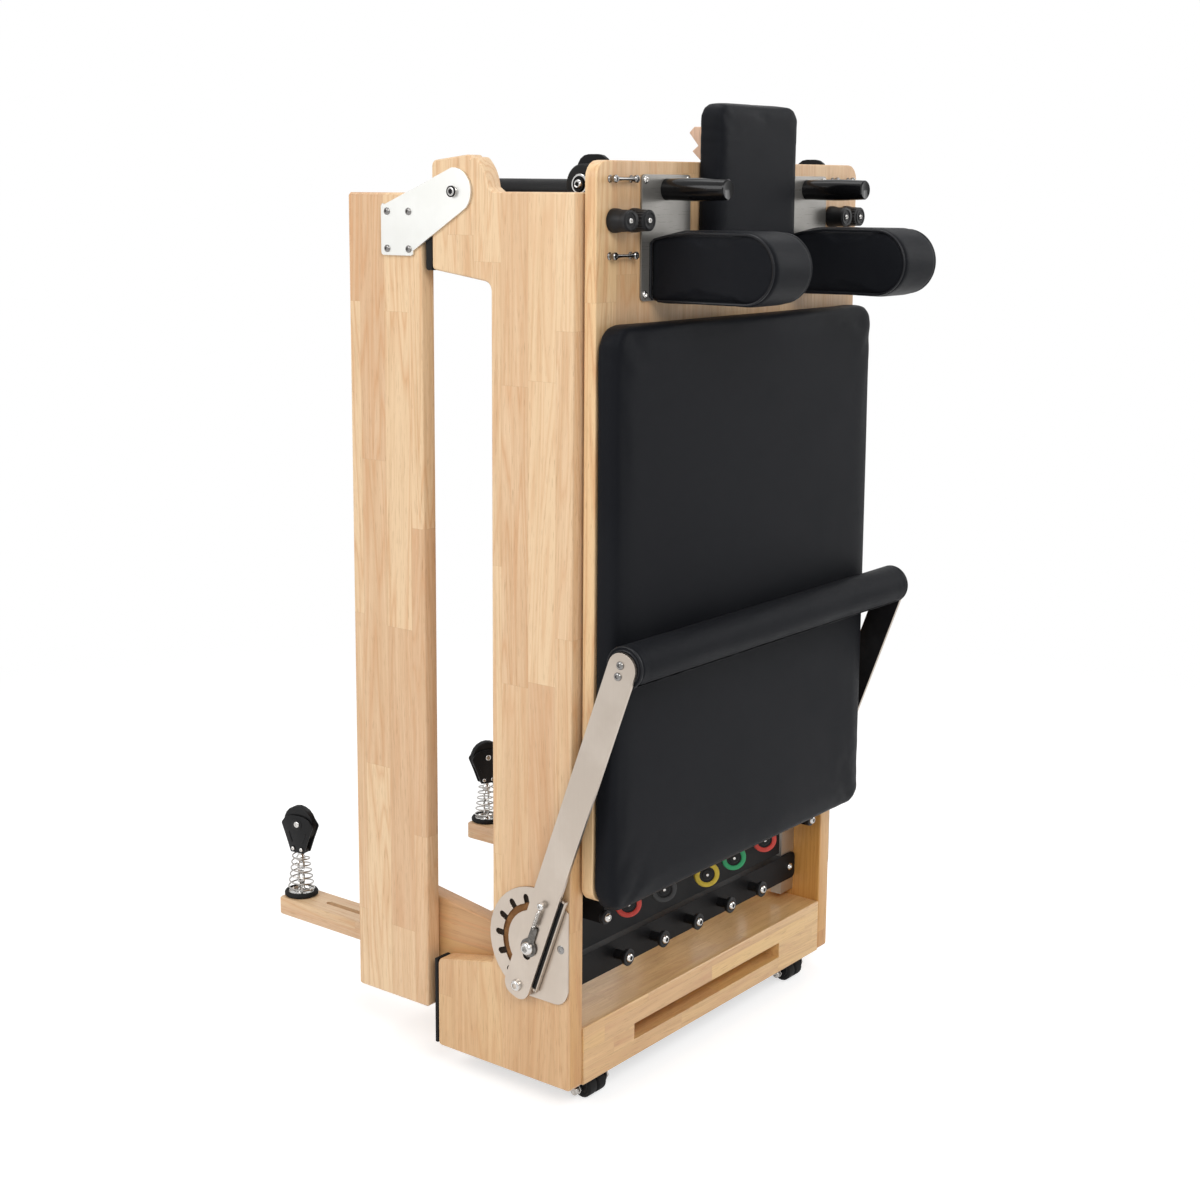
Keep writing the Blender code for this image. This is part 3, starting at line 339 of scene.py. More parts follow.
def makeStaveGroup():
    # solid wood glued up from staves: across, deep and along are places in metres
    group, link, result = newGroup(
        "gluedStaves",
        {"Across": 0.0, "Deep": 0.0, "Along": 0.0, "Stave Width": 0.046, "Stave Depth": 0.2, "Stave Length": 0.36,
         "Seed": 0.0, "Light": (0.76, 0.56, 0.36, 1), "Dark": (0.60, 0.38, 0.20, 1)},
        ("Color", "Roughness", "Height"))
    do = functools.partial(compute, group)
    across = do("ADD", do("DIVIDE", link["Across"], link["Stave Width"]), link["Seed"])
    row = do("FLOOR", across)
    layer = do("FLOOR", do("ADD", do("DIVIDE", link["Deep"], link["Stave Depth"]), 0.37))

    def randomOf(*parts):
        place = addNode(group, "ShaderNodeCombineXYZ", dict(enumerate(parts))).outputs[0]
        return addNode(group, "ShaderNodeTexWhiteNoise", {0: place}, noise_dimensions="3D").outputs

    rowRandom = randomOf(row, layer, link["Seed"])[0]
    shifted = do("MULTIPLY_ADD", rowRandom, 7.3, do("DIVIDE", link["Along"], link["Stave Length"]))
    tone, tint = randomOf(do("ADD", row, rowRandom), layer,
                          do("MULTIPLY_ADD", do("FLOOR", shifted), 1.7, link["Seed"]))
    rosiness, ringStrength, slope = addNode(group, "ShaderNodeSeparateColor", {0: tint}).outputs
    # each stave has its own stretch of grain, a little out of line
    drift = do("MULTIPLY", tone, 13.0)
    slant = do("MULTIPLY", do("SUBTRACT", slope, 0.5), 0.10)
    lean = do("MULTIPLY_ADD", link["Along"], slant, link["Across"])

    def grain(scale, along, detail, shift=1, **more):
        start = do("MULTIPLY", drift, shift) if shift > 1 else drift
        place = addNode(group, "ShaderNodeCombineXYZ", {
            0: do("MULTIPLY_ADD", lean, scale, start), 1: do("MULTIPLY_ADD", link["Deep"], scale, drift),
            2: do("MULTIPLY", link["Along"], along)}).outputs[0]
        return noiseTexture(group, place, 1.0, detail, **more)

    bands = grain(75.0, 3.2, 3.0, Roughness=0.55, Distortion=0.7)
    fine = grain(520.0, 9.0, 2.0, Roughness=0.6)
    pore = ramp(group, grain(1100.0, 42.0, 1.0), [(0.30, 1), (0.38, 0)])
    streak = grain(16.0, 1.1, 2.0, 3, Distortion=1.2)
    # the tone of the stave, then its bands, streaks and fine fibres
    shade = do("MULTIPLY_ADD", tone, 0.78, -0.08)
    for pattern, weight in ((bands, 1.35), (streak, 0.95), (fine, 1.05)):
        shade = do("MULTIPLY_ADD", do("SUBTRACT", pattern, 0.5), weight, shade, clamp=pattern is fine)
    body = mixColor(group, shade, link["Light"], link["Dark"])
    body = mixColor(group, do("MULTIPLY", rosiness, 0.26), body, (0.70, 0.42, 0.29, 1))
    # growth rings are the contour lines of a stretched field
    field = grain(30.0, 1.6, 1.6, 2, Distortion=0.4)
    phase = do("PINGPONG", do("MULTIPLY", field, 11.0), 0.5)
    ring = ramp(group, phase, [(0.0, 1), (0.11, 0.5), (0.32, 0)])
    ring = do("MULTIPLY", ring, do("MULTIPLY_ADD", ringStrength, 0.42, 0.26))
    body = mixColor(group, ring, body, (0.60, 0.300, 0.130, 1))
    body = mixColor(group, do("MULTIPLY", pore, 0.34), body, (0.32, 0.155, 0.06, 1))
    # PINGPONG gives 0 at each joint between two whole numbers
    lines = []
    for place, size, width in ((across, "Stave Width", 0.55), (shifted, "Stave Length", 0.6)):
        edge = do("MULTIPLY", do("PINGPONG", place, 0.5), link[size])
        lines.append(ramp(group, do("MULTIPLY", edge, 1000.0), [(0.0, 1), (width, 0)]))
    seam = do("MAXIMUM", lines[0], do("MULTIPLY", lines[1], 0.9))
    body = mixColor(group, do("MULTIPLY", seam, 0.22), body, (0.34, 0.19, 0.09, 1))
    rough = do("MULTIPLY_ADD", pore, 0.18, do("MULTIPLY_ADD", bands, 0.10, 0.36))
    high = do("MULTIPLY_ADD", seam, -0.35, do("MULTIPLY_ADD", pore, -0.6, do("MULTIPLY", fine, 0.35)))
    sendOut(group, result, Color=body, Roughness=rough, Height=high)
    return group


def makeSmudgeGroup():
    # faint patches of handling that change tone and gloss
    group, link, result = newGroup(
        "handling", {"Vector": None, "Size": 6.0, "Base": (0.5, 0.5, 0.5, 1), "Worn": (0.6, 0.6, 0.6, 1),
                     "Roughness": 0.4, "Spread": 0.12}, ("Color", "Roughness", "Mask"))
    patches = noiseTexture(group, link["Vector"], link["Size"], 4.0, Roughness=0.62)
    mask = ramp(group, patches, [(0.38, 0), (0.66, 1)], smooth=True)
    specks = noiseTexture(group, link["Vector"], 900.0, 1.0)
    rough = link["Roughness"]
    for pattern in (mask, specks):
        rough = compute(group, "MULTIPLY_ADD", compute(group, "SUBTRACT", pattern, 0.5), link["Spread"], rough,
                        clamp=pattern is specks)
    sendOut(group, result, Color=mixColor(group, mask, link["Base"], link["Worn"]), Roughness=rough, Mask=mask)
    return group


def makeHideGroup():
    # the pebbled grain of soft black leather, with the fine creases of a stretched cover
    group, link, result = newGroup("hideGrain", {"Vector": None, "Pebbles": 1150.0, "Crease": 0.5},
                                   ("Height", "Pits"))
    warp = addNode(group, "ShaderNodeTexNoise", {"Vector": link["Vector"], "Scale": 260.0, "Detail": 2.0}).outputs[1]
    small = addNode(group, "ShaderNodeVectorMath", {0: warp, 1: (0.0012, 0.0012, 0.0012)}, operation="MULTIPLY")
    bent = addNode(group, "ShaderNodeVectorMath", {0: link["Vector"], 1: small.outputs[0]}, operation="ADD")
    cells = addNode(group, "ShaderNodeTexVoronoi", {"Vector": bent.outputs[0], "Scale": link["Pebbles"]},
                    feature="DISTANCE_TO_EDGE").outputs[0]
    pits = ramp(group, cells, [(0.0, 1), (0.16, 0)], smooth=True)
    long = addNode(group, "ShaderNodeMapping", {0: link["Vector"], "Scale": (28.0, 28.0, 11.0)}).outputs[0]
    creases = noiseTexture(group, long, 1.0, 5.0, Roughness=0.5, Distortion=0.4)
    high = compute(group, "MULTIPLY_ADD", pits, -0.35, compute(group, "MULTIPLY", creases, link["Crease"]))
    sendOut(group, result, Height=high, Pits=pits)
    return group


def makeBrushGroup():
    # fine parallel scratches, drawn out along one direction
    group, link, result = newGroup("brushed", {"Vector": None, "Roughness": 0.3, "Spread": 0.2},
                                   ("Roughness", "Height", "Streak"))
    lines = noiseTexture(group, link["Vector"], 1.0, 4.0, Roughness=0.7)
    rough = compute(group, "MULTIPLY_ADD", compute(group, "SUBTRACT", lines, 0.5), link["Spread"],
                    link["Roughness"], clamp=True)
    sendOut(group, result, Roughness=rough, Height=lines, Streak=lines)
    return group


staveGroup = makeStaveGroup()
smudgeGroup = makeSmudgeGroup()
hideGroup = makeHideGroup()
brushGroup = makeBrushGroup()


# Materials


def newMaterial(name, roughness=0.5, metallic=0.0, specular=0.5, preview=(0.5, 0.5, 0.5)):
    material = bpy.data.materials.new(name)
    material.use_nodes = True
    tree = material.node_tree
    shader = tree.nodes["Principled BSDF"]
    for label, value in (("Roughness", roughness), ("Metallic", metallic), ("Specular IOR Level", specular)):
        shader.inputs[label].default_value = value
    material.diffuse_color = (*preview, 1)
    return material, tree, shader, addNode(tree, "ShaderNodeTexCoord").outputs["Object"]


def bump(tree, shader, height, strength, distance):
    node = addNode(tree, "ShaderNodeBump", {"Height": height, "Strength": strength, "Distance": distance})
    tree.links.new(node.outputs[0], shader.inputs["Normal"])


def groupNode(tree, group, **values):
    node = addNode(tree, "ShaderNodeGroup", node_tree=group)
    for label, value in values.items():
        connect(tree, value, node.inputs[label.replace("_", " ")])
    return node.outputs


def makeWood(name, axes, look):
    # axes names the ones that run across, into and along the staves
    material, tree, shader, where = newMaterial(name, preview=(0.7, 0.5, 0.3))
    place = addNode(tree, "ShaderNodeSeparateXYZ", {0: where}).outputs
    across, deep, along = (place["xyz".index(axis)] for axis in axes)
    staves = groupNode(tree, staveGroup, Across=across, Deep=deep, Along=along, Stave_Width=look["width"],
                       Stave_Depth=look["depth"], Stave_Length=look["length"], Seed=look["seed"],
                       Light=(*look["light"], 1), Dark=(*look["dark"], 1))
    color = staves["Color"]

    def fade(axis, slope, start):
        return compute(tree, "MULTIPLY_ADD", place["xyz".index(axis)], slope, -slope * start, clamp=True)

    def deepen(mask, tint):
        return mixColor(tree, mask, color, (*tint, 1), blend="MULTIPLY")

    if "aged" in look:
        # darker towards the floor, and most on the front edge, where painted shade is added
        low, edge = fade("z", -2.0, 0.6), fade("y", -600.0, toFrame.y + 0.0026)
        color = deepen(low, look["aged"])
        color = deepen(compute(tree, "MULTIPLY", edge, low), (0.97, 0.84, 0.60))
    if "inner" in look:
        # painted shade: deeper away from the outer face and the front edge, on faces that light reaches only off the
        # other panels
        inside, behind = fade("x", -800.0, halfWidth - 0.0015), fade("y", 600.0, toFrame.y + 0.0006)
        color = deepen(compute(tree, "MULTIPLY", inside, behind), look["inner"])
    sendOut(tree, shader, Base_Color=color, Roughness=staves["Roughness"])
    bump(tree, shader, staves["Height"], 0.35, 0.0004)
    shader.inputs["Coat Weight"].default_value = look.get("coat", 0.12)
    shader.inputs["Coat Roughness"].default_value = look.get("coatRoughness", 0.28)
    return material


def addWear(tree, where, size, look, roughness, spread):
    return groupNode(tree, smudgeGroup, Vector=where, Size=size, Base=(*look["color"], 1), Worn=(*look["worn"], 1),
                     Roughness=roughness, Spread=spread)


def makeHide(name, **look):
    material, tree, shader, where = newMaterial(name, look["roughness"], specular=look["specular"],
                                                preview=look["color"])
    hide = groupNode(tree, hideGroup, Vector=where, Pebbles=look["pebbles"], Crease=look["crease"])
    wear = addWear(tree, where, 5.0, look, look["roughness"], 0.10)
    color = mixColor(tree, compute(tree, "MULTIPLY", hide["Pits"], 0.45), wear["Color"], (0.004, 0.004, 0.005, 1))
    sendOut(tree, shader, Base_Color=color, Roughness=wear["Roughness"])
    bump(tree, shader, hide["Height"], look["bump"], 0.0006)
    shader.inputs["Sheen Weight"].default_value = 0.008
    shader.inputs["Sheen Roughness"].default_value = 0.5
    return material


def makeBrushed(name, stretch, **look):
    # stretch scales the place, so the scratches run along its smallest number
    material, tree, shader, where = newMaterial(name, look["roughness"], look.get("metallic", 1.0),
                                                preview=look["color"])
    turned = addNode(tree, "ShaderNodeMapping", {0: where, "Rotation": look.get("turn", (0, 0, 0)),
                                                 "Scale": stretch}).outputs[0]
    lines = groupNode(tree, brushGroup, Vector=turned, Roughness=look["roughness"], Spread=look["spread"])
    wear = addWear(tree, where, 9.0, look, 0.3, 0.1)
    color = mixColor(tree, compute(tree, "MULTIPLY", lines["Streak"], 0.22), wear["Color"], (*look["line"], 1))
    sendOut(tree, shader, Base_Color=color, Roughness=lines["Roughness"])
    bump(tree, shader, lines["Height"], 0.10, 0.0002)
    return material


def makePlain(name, **look):
    # painted, moulded or polished surfaces, with a fine texture and faint handling marks
    material, tree, shader, where = newMaterial(name, look["roughness"], look.get("metallic", 0.0),
                                                look.get("specular", 0.5), look["color"])
    wear = addWear(tree, where, look.get("patch", 14.0), look, look["roughness"], look["spread"])
    sendOut(tree, shader, Base_Color=wear["Color"], Roughness=wear["Roughness"])
    if "grain" in look:
        bump(tree, shader, noiseTexture(tree, where, look["grain"], 2.0), look["bump"], 0.0003)
    return material


tones = {"light": (0.790, 0.570, 0.345), "dark": (0.590, 0.365, 0.180)}
railLook = {"width": 0.046, "depth": 0.20, "length": 0.40, "seed": 3.2, "aged": (0.89, 0.82, 0.71), **tones}
woodLooks = {
    "rail": ("yxz", railLook),
    # the far rail's copy of the rail wood carries painted shade on its inner faces
    "farRail": ("yxz", {**railLook, "inner": (0.90, 0.67, 0.31), "seed": 6.7}),
    "rearRail": ("yxz", {"width": 0.046, "depth": 0.20, "length": 0.44, "seed": 8.65, **tones}),
    "batten": ("yxz", {"width": 0.040, "depth": 0.20, "length": 0.50, "seed": 5.1, **tones}),
    "end": ("zyx", {"width": 0.0235, "depth": 0.045, "length": 0.26, "seed": 2.45, "light": (0.790, 0.505, 0.192),
                    "dark": (0.560, 0.308, 0.092), "coat": 0.55, "coatRoughness": 0.16}),
    # the head legs' darker tones are painted shade, as the legs stand in shadow
    "leg": ("zxy", {"width": 0.05, "depth": 0.2, "length": 0.45, "seed": 6.3, "light": (0.550, 0.320, 0.128),
                    "dark": (0.400, 0.208, 0.066)}),
    "board": ("xyz", {"width": 0.043, "depth": 0.30, "length": 0.62, "seed": 11.4, "light": (0.770, 0.530, 0.285),
                      "dark": (0.585, 0.365, 0.165)}),
    "prop": ("yxz", {"width": 0.05, "depth": 0.2, "length": 0.3, "seed": 1.7, "light": (0.78, 0.53, 0.38),
                     "dark": (0.60, 0.36, 0.24)}),
    "riser": ("xzy", {"width": 0.07, "depth": 0.2, "length": 0.8, "seed": 9.1, "light": (0.728, 0.515, 0.304),
                      "dark": (0.615, 0.392, 0.210)}),
}
wood = {word: makeWood(word + "Wood", axes, look) for word, (axes, look) in woodLooks.items()}
hideLook = {"color": (0.0090, 0.0098, 0.0124), "worn": (0.0114, 0.0123, 0.0148), "roughness": 0.42, "specular": 0.045,
            "pebbles": 1150.0, "crease": 0.35, "bump": 0.32}
hide = makeHide("blackHide", **hideLook)
barHide = makeHide("barHide", **{**hideLook, "crease": 0.9, "bump": 0.40, "roughness": 0.46})
weltHide = makeHide("weltHide", **{**hideLook, "roughness": 0.30, "specular": 0.20, "bump": 0.15})
steelLook = {"color": (0.500, 0.434, 0.372), "worn": (0.55, 0.484, 0.42), "line": (0.375, 0.32, 0.27),
             "roughness": 0.34, "spread": 0.22}
armSteel = makeBrushed("armSteel", (900, 900, 14), turn=(math.radians(-20.3), 0, 0), **steelLook)
gearSteel = makeBrushed("gearSteel", (900, 900, 14), **steelLook)
plateSteel = makeBrushed("plateSteel", (14, 900, 900), color=(0.232, 0.222, 0.204), worn=(0.275, 0.262, 0.242),
                         line=(0.17, 0.165, 0.16), metallic=0.55, roughness=0.30, spread=0.2)
hingeSteel = makeBrushed("hingeSteel", (900, 900, 14), color=(0.72, 0.72, 0.69), worn=(0.76, 0.76, 0.735),
                         line=(0.63, 0.63, 0.605), roughness=0.42, spread=0.12)
aluminium = makeBrushed("aluminium", (900, 900, 10), color=(0.50, 0.485, 0.46), worn=(0.56, 0.545, 0.52),
                        line=(0.45, 0.44, 0.42), roughness=0.38, spread=0.2)
chrome = makePlain("chrome", color=(0.60, 0.585, 0.565), worn=(0.50, 0.49, 0.475), roughness=0.15, metallic=1.0,
                   spread=0.08, patch=60.0)
# chrome painted darker: painted reflection of dark surroundings on small screws and studs
shadedChrome = makePlain("shadedChrome", color=(0.27, 0.262, 0.255), worn=(0.21, 0.205, 0.20), roughness=0.16,
                       metallic=1.0, spread=0.08, patch=90.0)
# dark steel for the pivot's lug and bolt; on the bolt's chrome washer the dark colour is painted reflection
darkSteel = makePlain("darkSteel", color=(0.105, 0.098, 0.090), worn=(0.16, 0.15, 0.14), roughness=0.34,
                      metallic=0.9, spread=0.16, patch=160.0)
springSteel = makePlain("springSteel", color=(0.46, 0.44, 0.415), worn=(0.36, 0.34, 0.32), roughness=0.26,
                        metallic=1.0, spread=0.12, patch=40.0)
blackPaint = makePlain("blackPaint", color=(0.0065, 0.0065, 0.007), worn=(0.011, 0.011, 0.012), specular=0.10,
                       roughness=0.48, spread=0.12, grain=1500.0, bump=0.25)
blackPlastic = makePlain("blackPlastic", color=(0.0075, 0.0075, 0.008), worn=(0.013, 0.013, 0.014), specular=0.2,
                         roughness=0.42, spread=0.14, grain=2200.0, bump=0.20)
glossPlastic = makePlain("glossPlastic", color=(0.0045, 0.0045, 0.005), worn=(0.007, 0.007, 0.008),
                         roughness=0.16, spread=0.06, specular=0.22)
# painted shade for the gear plates' notches and for the wood seen through their windows
gearShade = makePlain("gearShade", color=(0.012, 0.010, 0.008), worn=(0.030, 0.020, 0.014), roughness=0.8,
                      spread=0.1, specular=0.1)
gearWindow = makePlain("gearWindow", color=(0.185, 0.085, 0.032), worn=(0.26, 0.125, 0.048), patch=60.0,
                       roughness=0.7, spread=0.1, specular=0.1)
seamShade = makePlain("seamShade", color=(0.0015, 0.0015, 0.0016), worn=(0.003, 0.003, 0.003), roughness=0.9,
                      spread=0.05, specular=0.0)
rubber = makePlain("blackRubber", color=(0.009, 0.009, 0.0095), worn=(0.017, 0.0165, 0.016), roughness=0.72,
                   spread=0.14, grain=900.0, bump=0.4, specular=0.15)
nylon = makePlain("whiteNylon", color=(0.62, 0.62, 0.60), worn=(0.52, 0.52, 0.50), roughness=0.40, spread=0.10,
                  grain=800.0, bump=0.1)
eyeRubber = {}
for word, name, tint in (("red", "redRubber", (0.66, 0.045, 0.028)), ("black", "darkRubber", (0.006, 0.006, 0.0065)),
                         ("yellow", "yellowRubber", (0.68, 0.50, 0.03)), ("green", "greenRubber", (0.01, 0.34, 0.12))):
    eyeRubber[word] = makePlain(name, color=tint, worn=tuple(0.78 * part for part in tint), roughness=0.46,
                                spread=0.12, grain=700.0, bump=0.2)
print("materials made:", len(bpy.data.materials))


# Wooden frame and steel plates that keep the solids' shape

for word, tail, side in sides:
    dress("foot_side_" + word, wood["rail" if side < 0 else "farRail"])
    dress("foot_batten_" + word, wood["batten"], bevel=0.002)
    dress("head_rail_" + word, wood["rearRail"])
    dress("head_leg_" + word, wood["leg"])
    dress("riser_" + word, wood["riser"])
    dress("foot_pad_" + word, rubber, bevel=0.001)
    dress("gear_plate_" + word, gearSteel, bevel=0.0004, smooth=30)
    dress("hinge_plate_" + word, hingeSteel, bevel=0.0006, smooth=30)
    dress("shoulder_plate_" + word, plateSteel, bevel=0.0006, smooth=30)
    dress("footbar_arm_" + word, armSteel, bevel=0.0005, smooth=30)
    dress("sheave_" + word, blackPlastic, smooth=35)
dress("end_block", wood["end"], bevel=0.0005)
dress("headrest_prop", wood["prop"], bevel=0.0012)
dress("carriage_board", wood["board"], bevel=0.0008)
dress("hinge_tube", blackPaint, smooth=35)
dress("spring_bar", blackPaint, bevel=0.0003, smooth=35)
dress("caster_plate", blackPaint, smooth=35)
dress("carriage_frame", blackPaint, smooth=35)
for number in range(1, 5):
    dress("caster_wheel_%d" % number, rubber, smooth=35)
print("frame dressed")


def addStrips():
    # thin aluminium angles on the battens, where the carriage's wheels run
    look = {"thick": 0.00022, "top": 1.1965, "front": 0.050, "flange": 0.018, "face": (0.0285, 0.064), "edge": 0.0641}
    back = 2 * hingeY - look["front"]
    halves = (("foot", "foot_frame", 0.093, look["front"], -look["thick"], look["flange"]),
              ("head", "head_half", 0.240, back, look["thick"], -look["flange"]))
    for word, tail, side in sides:
        outer, inner = span(side, *look["face"]), span(side, look["edge"], look["edge"] + look["thick"])
        for half, body, foot, y, thick, flange in halves:
            shapes = []
            for (near, far), reach in ((outer, thick), (inner, flange)):
                low, high = sorted((y, y + reach))
                shapes.append((block, (near, low, foot), (far, high, look["top"])))
            build(half + "Strip" + tail, aluminium, body, *shapes, smooth=0)


def addPads():
    # black rubber strips on the ends of the middle legs and of the head legs
    looks = {"middlePad": {"body": "foot_frame", "depth": (0.0008, 0.0272), "low": (0.2412, 1.096),
                           "high": (0.2532, 1.190), "edge": 0.0028},
             "headLegPad": {"body": "head_half", "depth": (0.0290, 0.0556), "low": (0.1517, 0.064),
                            "high": (0.1552, 0.184), "edge": 0.001}}
    for word, tail, side in sides:
        for name, look in looks.items():
            near, far = span(side, *look["depth"])
            build(name + tail, rubber, look["body"], (block, (near, *look["low"]), (far, *look["high"]), look["edge"]))


addStrips()
addPads()


# Screws and bolts


def addScrews(name, body, places, radius, height, axis, material=chrome):
    build(name, material, body, *[(screwHead, place, axis, radius, height) for place in places], smooth=40)


def addFrameScrews():
    # name, body, depth of the seat, places, radius, height, material
    rows = (("hingeScrews", "head_half", -0.0043, [(y, z) for y in (0.2785, 0.3178) for z in (1.1235, 1.1732)],
             0.0051, 0.0026, shadedChrome),
            ("hingePinHead", "foot_frame", -0.0046, [(hingeY, 1.200)], 0.0078, 0.0046, chrome),
            ("gearScrew", "foot_frame", -0.0033, [(0.0147, 0.2017)], 0.0060, 0.0009, shadedChrome),
            ("armScrews", "footbar", -0.0160, [(-0.0905, 0.6115), (-0.0868, 0.5965)], 0.0057, 0.0030, shadedChrome),
            ("latchHead", "footbar", -0.0160, [(0.0810, 0.1384)], 0.0084, 0.0056, chrome))
    for word, tail, side in sides:
        for name, body, depth, places, radius, height, material in rows:
            addScrews(name + tail, body, [(fromRail(side, depth), y, z) for y, z in places], radius, height,
                      (side, 0, 0), material)
    addScrews("springBarBolts", "foot_frame", [(x, 0.0457, bobbinZ) for x in (-0.2855, 0.2855)], 0.0062, 0.0040,
              toFront)
    addScrews("bobbinHeads", "foot_frame", [(x, 0.0242, bobbinZ) for x in bobbinPlaces], 0.0070, 0.0058, toFront)
    addScrews("boardScrews", "carriage", [(x, -0.0050, z) for x in (-0.232, 0.232) for z in (0.40, 0.70, 1.0)],
              0.0050, 0.0026, toBack)
    addScrews("crossScrews", "carriage", [(x, 0.0537, z) for x in (-0.20, -0.07, 0.07, 0.20) for z in (0.208, 1.15)],
              0.0046, 0.0024, toBack)


addFrameScrews()


def addArmGuides():
    # a folded strip beside each arm that covers the latch, dark inside
    look = {"ends": (-0.059, -0.055, 0.0865, 0.0900), "groove": (0.0205, 0.0264), "lip": (0.0265, 0.0286),
            "shadeSheet": (0.030, 0.430, -0.0210, 0.0212), "lean": math.radians(20.26)}
    lean = look["lean"]
    away, front = Vector((-math.sin(lean), math.cos(lean))), Vector((-math.cos(lean), -math.sin(lean)))
    foot = Vector((pivotY, pivotZ))

    def strip(near, far, low, high):
        return [tuple(foot + away * s + front * t) for s, t in ((near, low), (far, low), (far, high), (near, high))]

    start, low, high, end = look["ends"]
    for word, tail, side in sides:
        build("armGroove" + tail, blackPlastic, "footbar",
              (disc, strip(low, high, *look["groove"]), "x", *span(side, -0.0092, -0.0050)), smooth=0)
        faces = (*span(side, -0.0104, -0.0040), 0.0006)
        strips = (strip(start, end, *look["lip"]), strip(high, end, *look["groove"]),
                  strip(start, low, *look["groove"]))
        build("armLip" + tail, armSteel, "footbar", *[(disc, outline, "x", *faces) for outline in strips], smooth=30)
        # a black sheet on the arm's inner face paints its shade and its reflection of the black cushion
        build("armShadeSheet" + tail, blackPaint, "footbar",
              (disc, strip(*look["shadeSheet"]), "x", *span(side, -0.0110, -0.0107)), smooth=0)


def addGearBacks():
    # painted shade: the wood seen through the window of each gear plate is painted a darker brown, and its notches are
    # painted black
    look = {"inner": 0.0460, "middle": 0.0572, "outer": 0.0715, "spread": 95, "pad": (0.0080, 0.0240, 0.0008)}
    centre, spread = (pivotY, pivotZ), look["spread"]
    rings = (("Window", look["inner"], look["middle"], gearWindow),
             ("Notches", look["middle"], look["outer"], gearShade))
    hole, rim, thick = look["pad"]
    for word, tail, side in sides:
        faces = span(side, -0.00022, -0.00006)
        for tag, near, far, material in rings:
            outline = circleArc(centre, far, -spread, spread, 40) + circleArc(centre, near, spread, -spread, 40)
            build("gear" + tag + tail, material, "foot_frame", (disc, outline, "x", *faces), smooth=0)
        build("thrustPad" + tail, blackPlastic, "foot_frame",
              (lathe, [(hole, 0), (rim, 0), (rim, thick), (hole, thick), (hole, 0)],
               (fromRail(side, -0.00335), *centre), (side, 0, 0), 48))


def addBobbinRims():
    # each bobbin is a black spool with a raised rim behind its screw
    profile = [(0.0108, 0.0), (0.0122, 0.0004), (0.0122, 0.0022), (0.0112, 0.0030), (0.0085, 0.0030),
               (0.0078, 0.0022), (0.0050, 0.0022)]
    for i, x in enumerate(bobbinPlaces):
        build("bobbinRim%d" % (i + 1), blackPlastic, "foot_frame", (lathe, profile, (x, 0.0247, bobbinZ), toFront, 28))


def addFrameEndBolts():
    # a button head on a black cup at the lower end of each of the carriage's side bars
    profile = [(0, -0.004), (0.0094, -0.004), (0.0100, -0.003), (0.0096, 0.0020), (0.0078, 0.0028), (0, 0.0028)]
    for word, tail, side in sides:
        x, y, z = fromRail(side, 0.0695), -0.0046, 0.2305
        build("frameCup" + tail, blackPlastic, "carriage", (lathe, profile, (x, y, z), toFront, 32))
        addScrews("frameBolt" + tail, "carriage", [(x, y - 0.0026, z)], 0.0062, 0.0046, toFront)


addArmGuides()
addGearBacks()
addBobbinRims()
addFrameEndBolts()


# Shoulder rests


def gripProfile(look):
    # nearly straight, swelling a little before a rounded end
    radius, bulge, long = look["radius"], look["bulge"], look["reach"] - look["start"]
    profile = [(0, 0), (radius, 0)]
    for i in range(1, 13):
        share = i / 13
        swell = bulge * math.sin(math.pi * min(1, share * 1.15) ** 1.3)
        profile.append((radius + swell - 0.0004, long * share * 0.97))
    return profile + [(radius - 0.0008, long - 0.0016), (radius - 0.0022, long - 0.0003),
                      (radius - 0.0034, long - 0.0010), (0, long - 0.0010)]


def addShoulderFittings():
    look = {"radius": 0.0142, "bulge": 0.0011, "reach": 0.124, "start": 0.0276}
    profile = gripProfile(look)
    for word, tail, side in sides:
        addScrews("plateScrews" + tail, "carriage",
                  [(fromRail(side, depth), -0.0273, z) for depth in (0.1135, 0.2070) for z in (1.0695, 1.2160)],
                  0.0050, 0.0028, toFront)
        build("grip" + tail, glossPlastic, "carriage",
              (lathe, profile, (fromRail(side, 0.160), -look["start"], 1.204), toFront, 40), smooth=40,
              node="handle_" + word, slot="black_gloss_plastic")
        for z in (1.2170, 1.1207):
            addEyeStrap("eyeStrap%s%d" % (tail, z * 1000), fromRail(side, 0.0418), fromRail(side, 0.0858), z)


def addEyeStrap(name, near, far, z):
    # two round studs with a waisted bar between them that a rope runs behind
    stud = [(0.0046, 0.0), (0.0048, 0.0010), (0.0036, 0.0020), (0.0032, 0.0042), (0.0044, 0.0058), (0.0051, 0.0082),
            (0.0050, 0.0104), (0.0040, 0.0116), (0.0026, 0.0116), (0.0022, 0.0104), (0, 0.0104)]
    half = abs(far - near) / 2 - 0.002
    waist = [(0.0036, -half), (0.0031, -half * 0.8), (0.0023, -half * 0.45)]
    build(name, shadedChrome, "carriage", *[(lathe, stud, (x, -0.0243, z), toFront, 24) for x in (near, far)],
          (lathe, waist + [(0.0020, 0)] + mirrored(waist), ((near + far) / 2, -0.0318, z), (1, 0, 0), 16))


addShoulderFittings()


def camShape(x, towards, radius, lobe, teeth):
    points = circleArc((0, 0), radius, 62, 298, 26)
    count = 2 * teeth
    for i in range(count + 1):
        angle = math.radians(-58 + 116 * i / count)
        swell = math.sin(math.pi * i / count) ** 0.5
        away = radius + (lobe - radius) * swell - (0.0011 if i % 2 else 0)
        points.append((away * math.cos(angle), away * math.sin(angle)))
    return [(x + towards * a, camZ + b) for a, b in points]


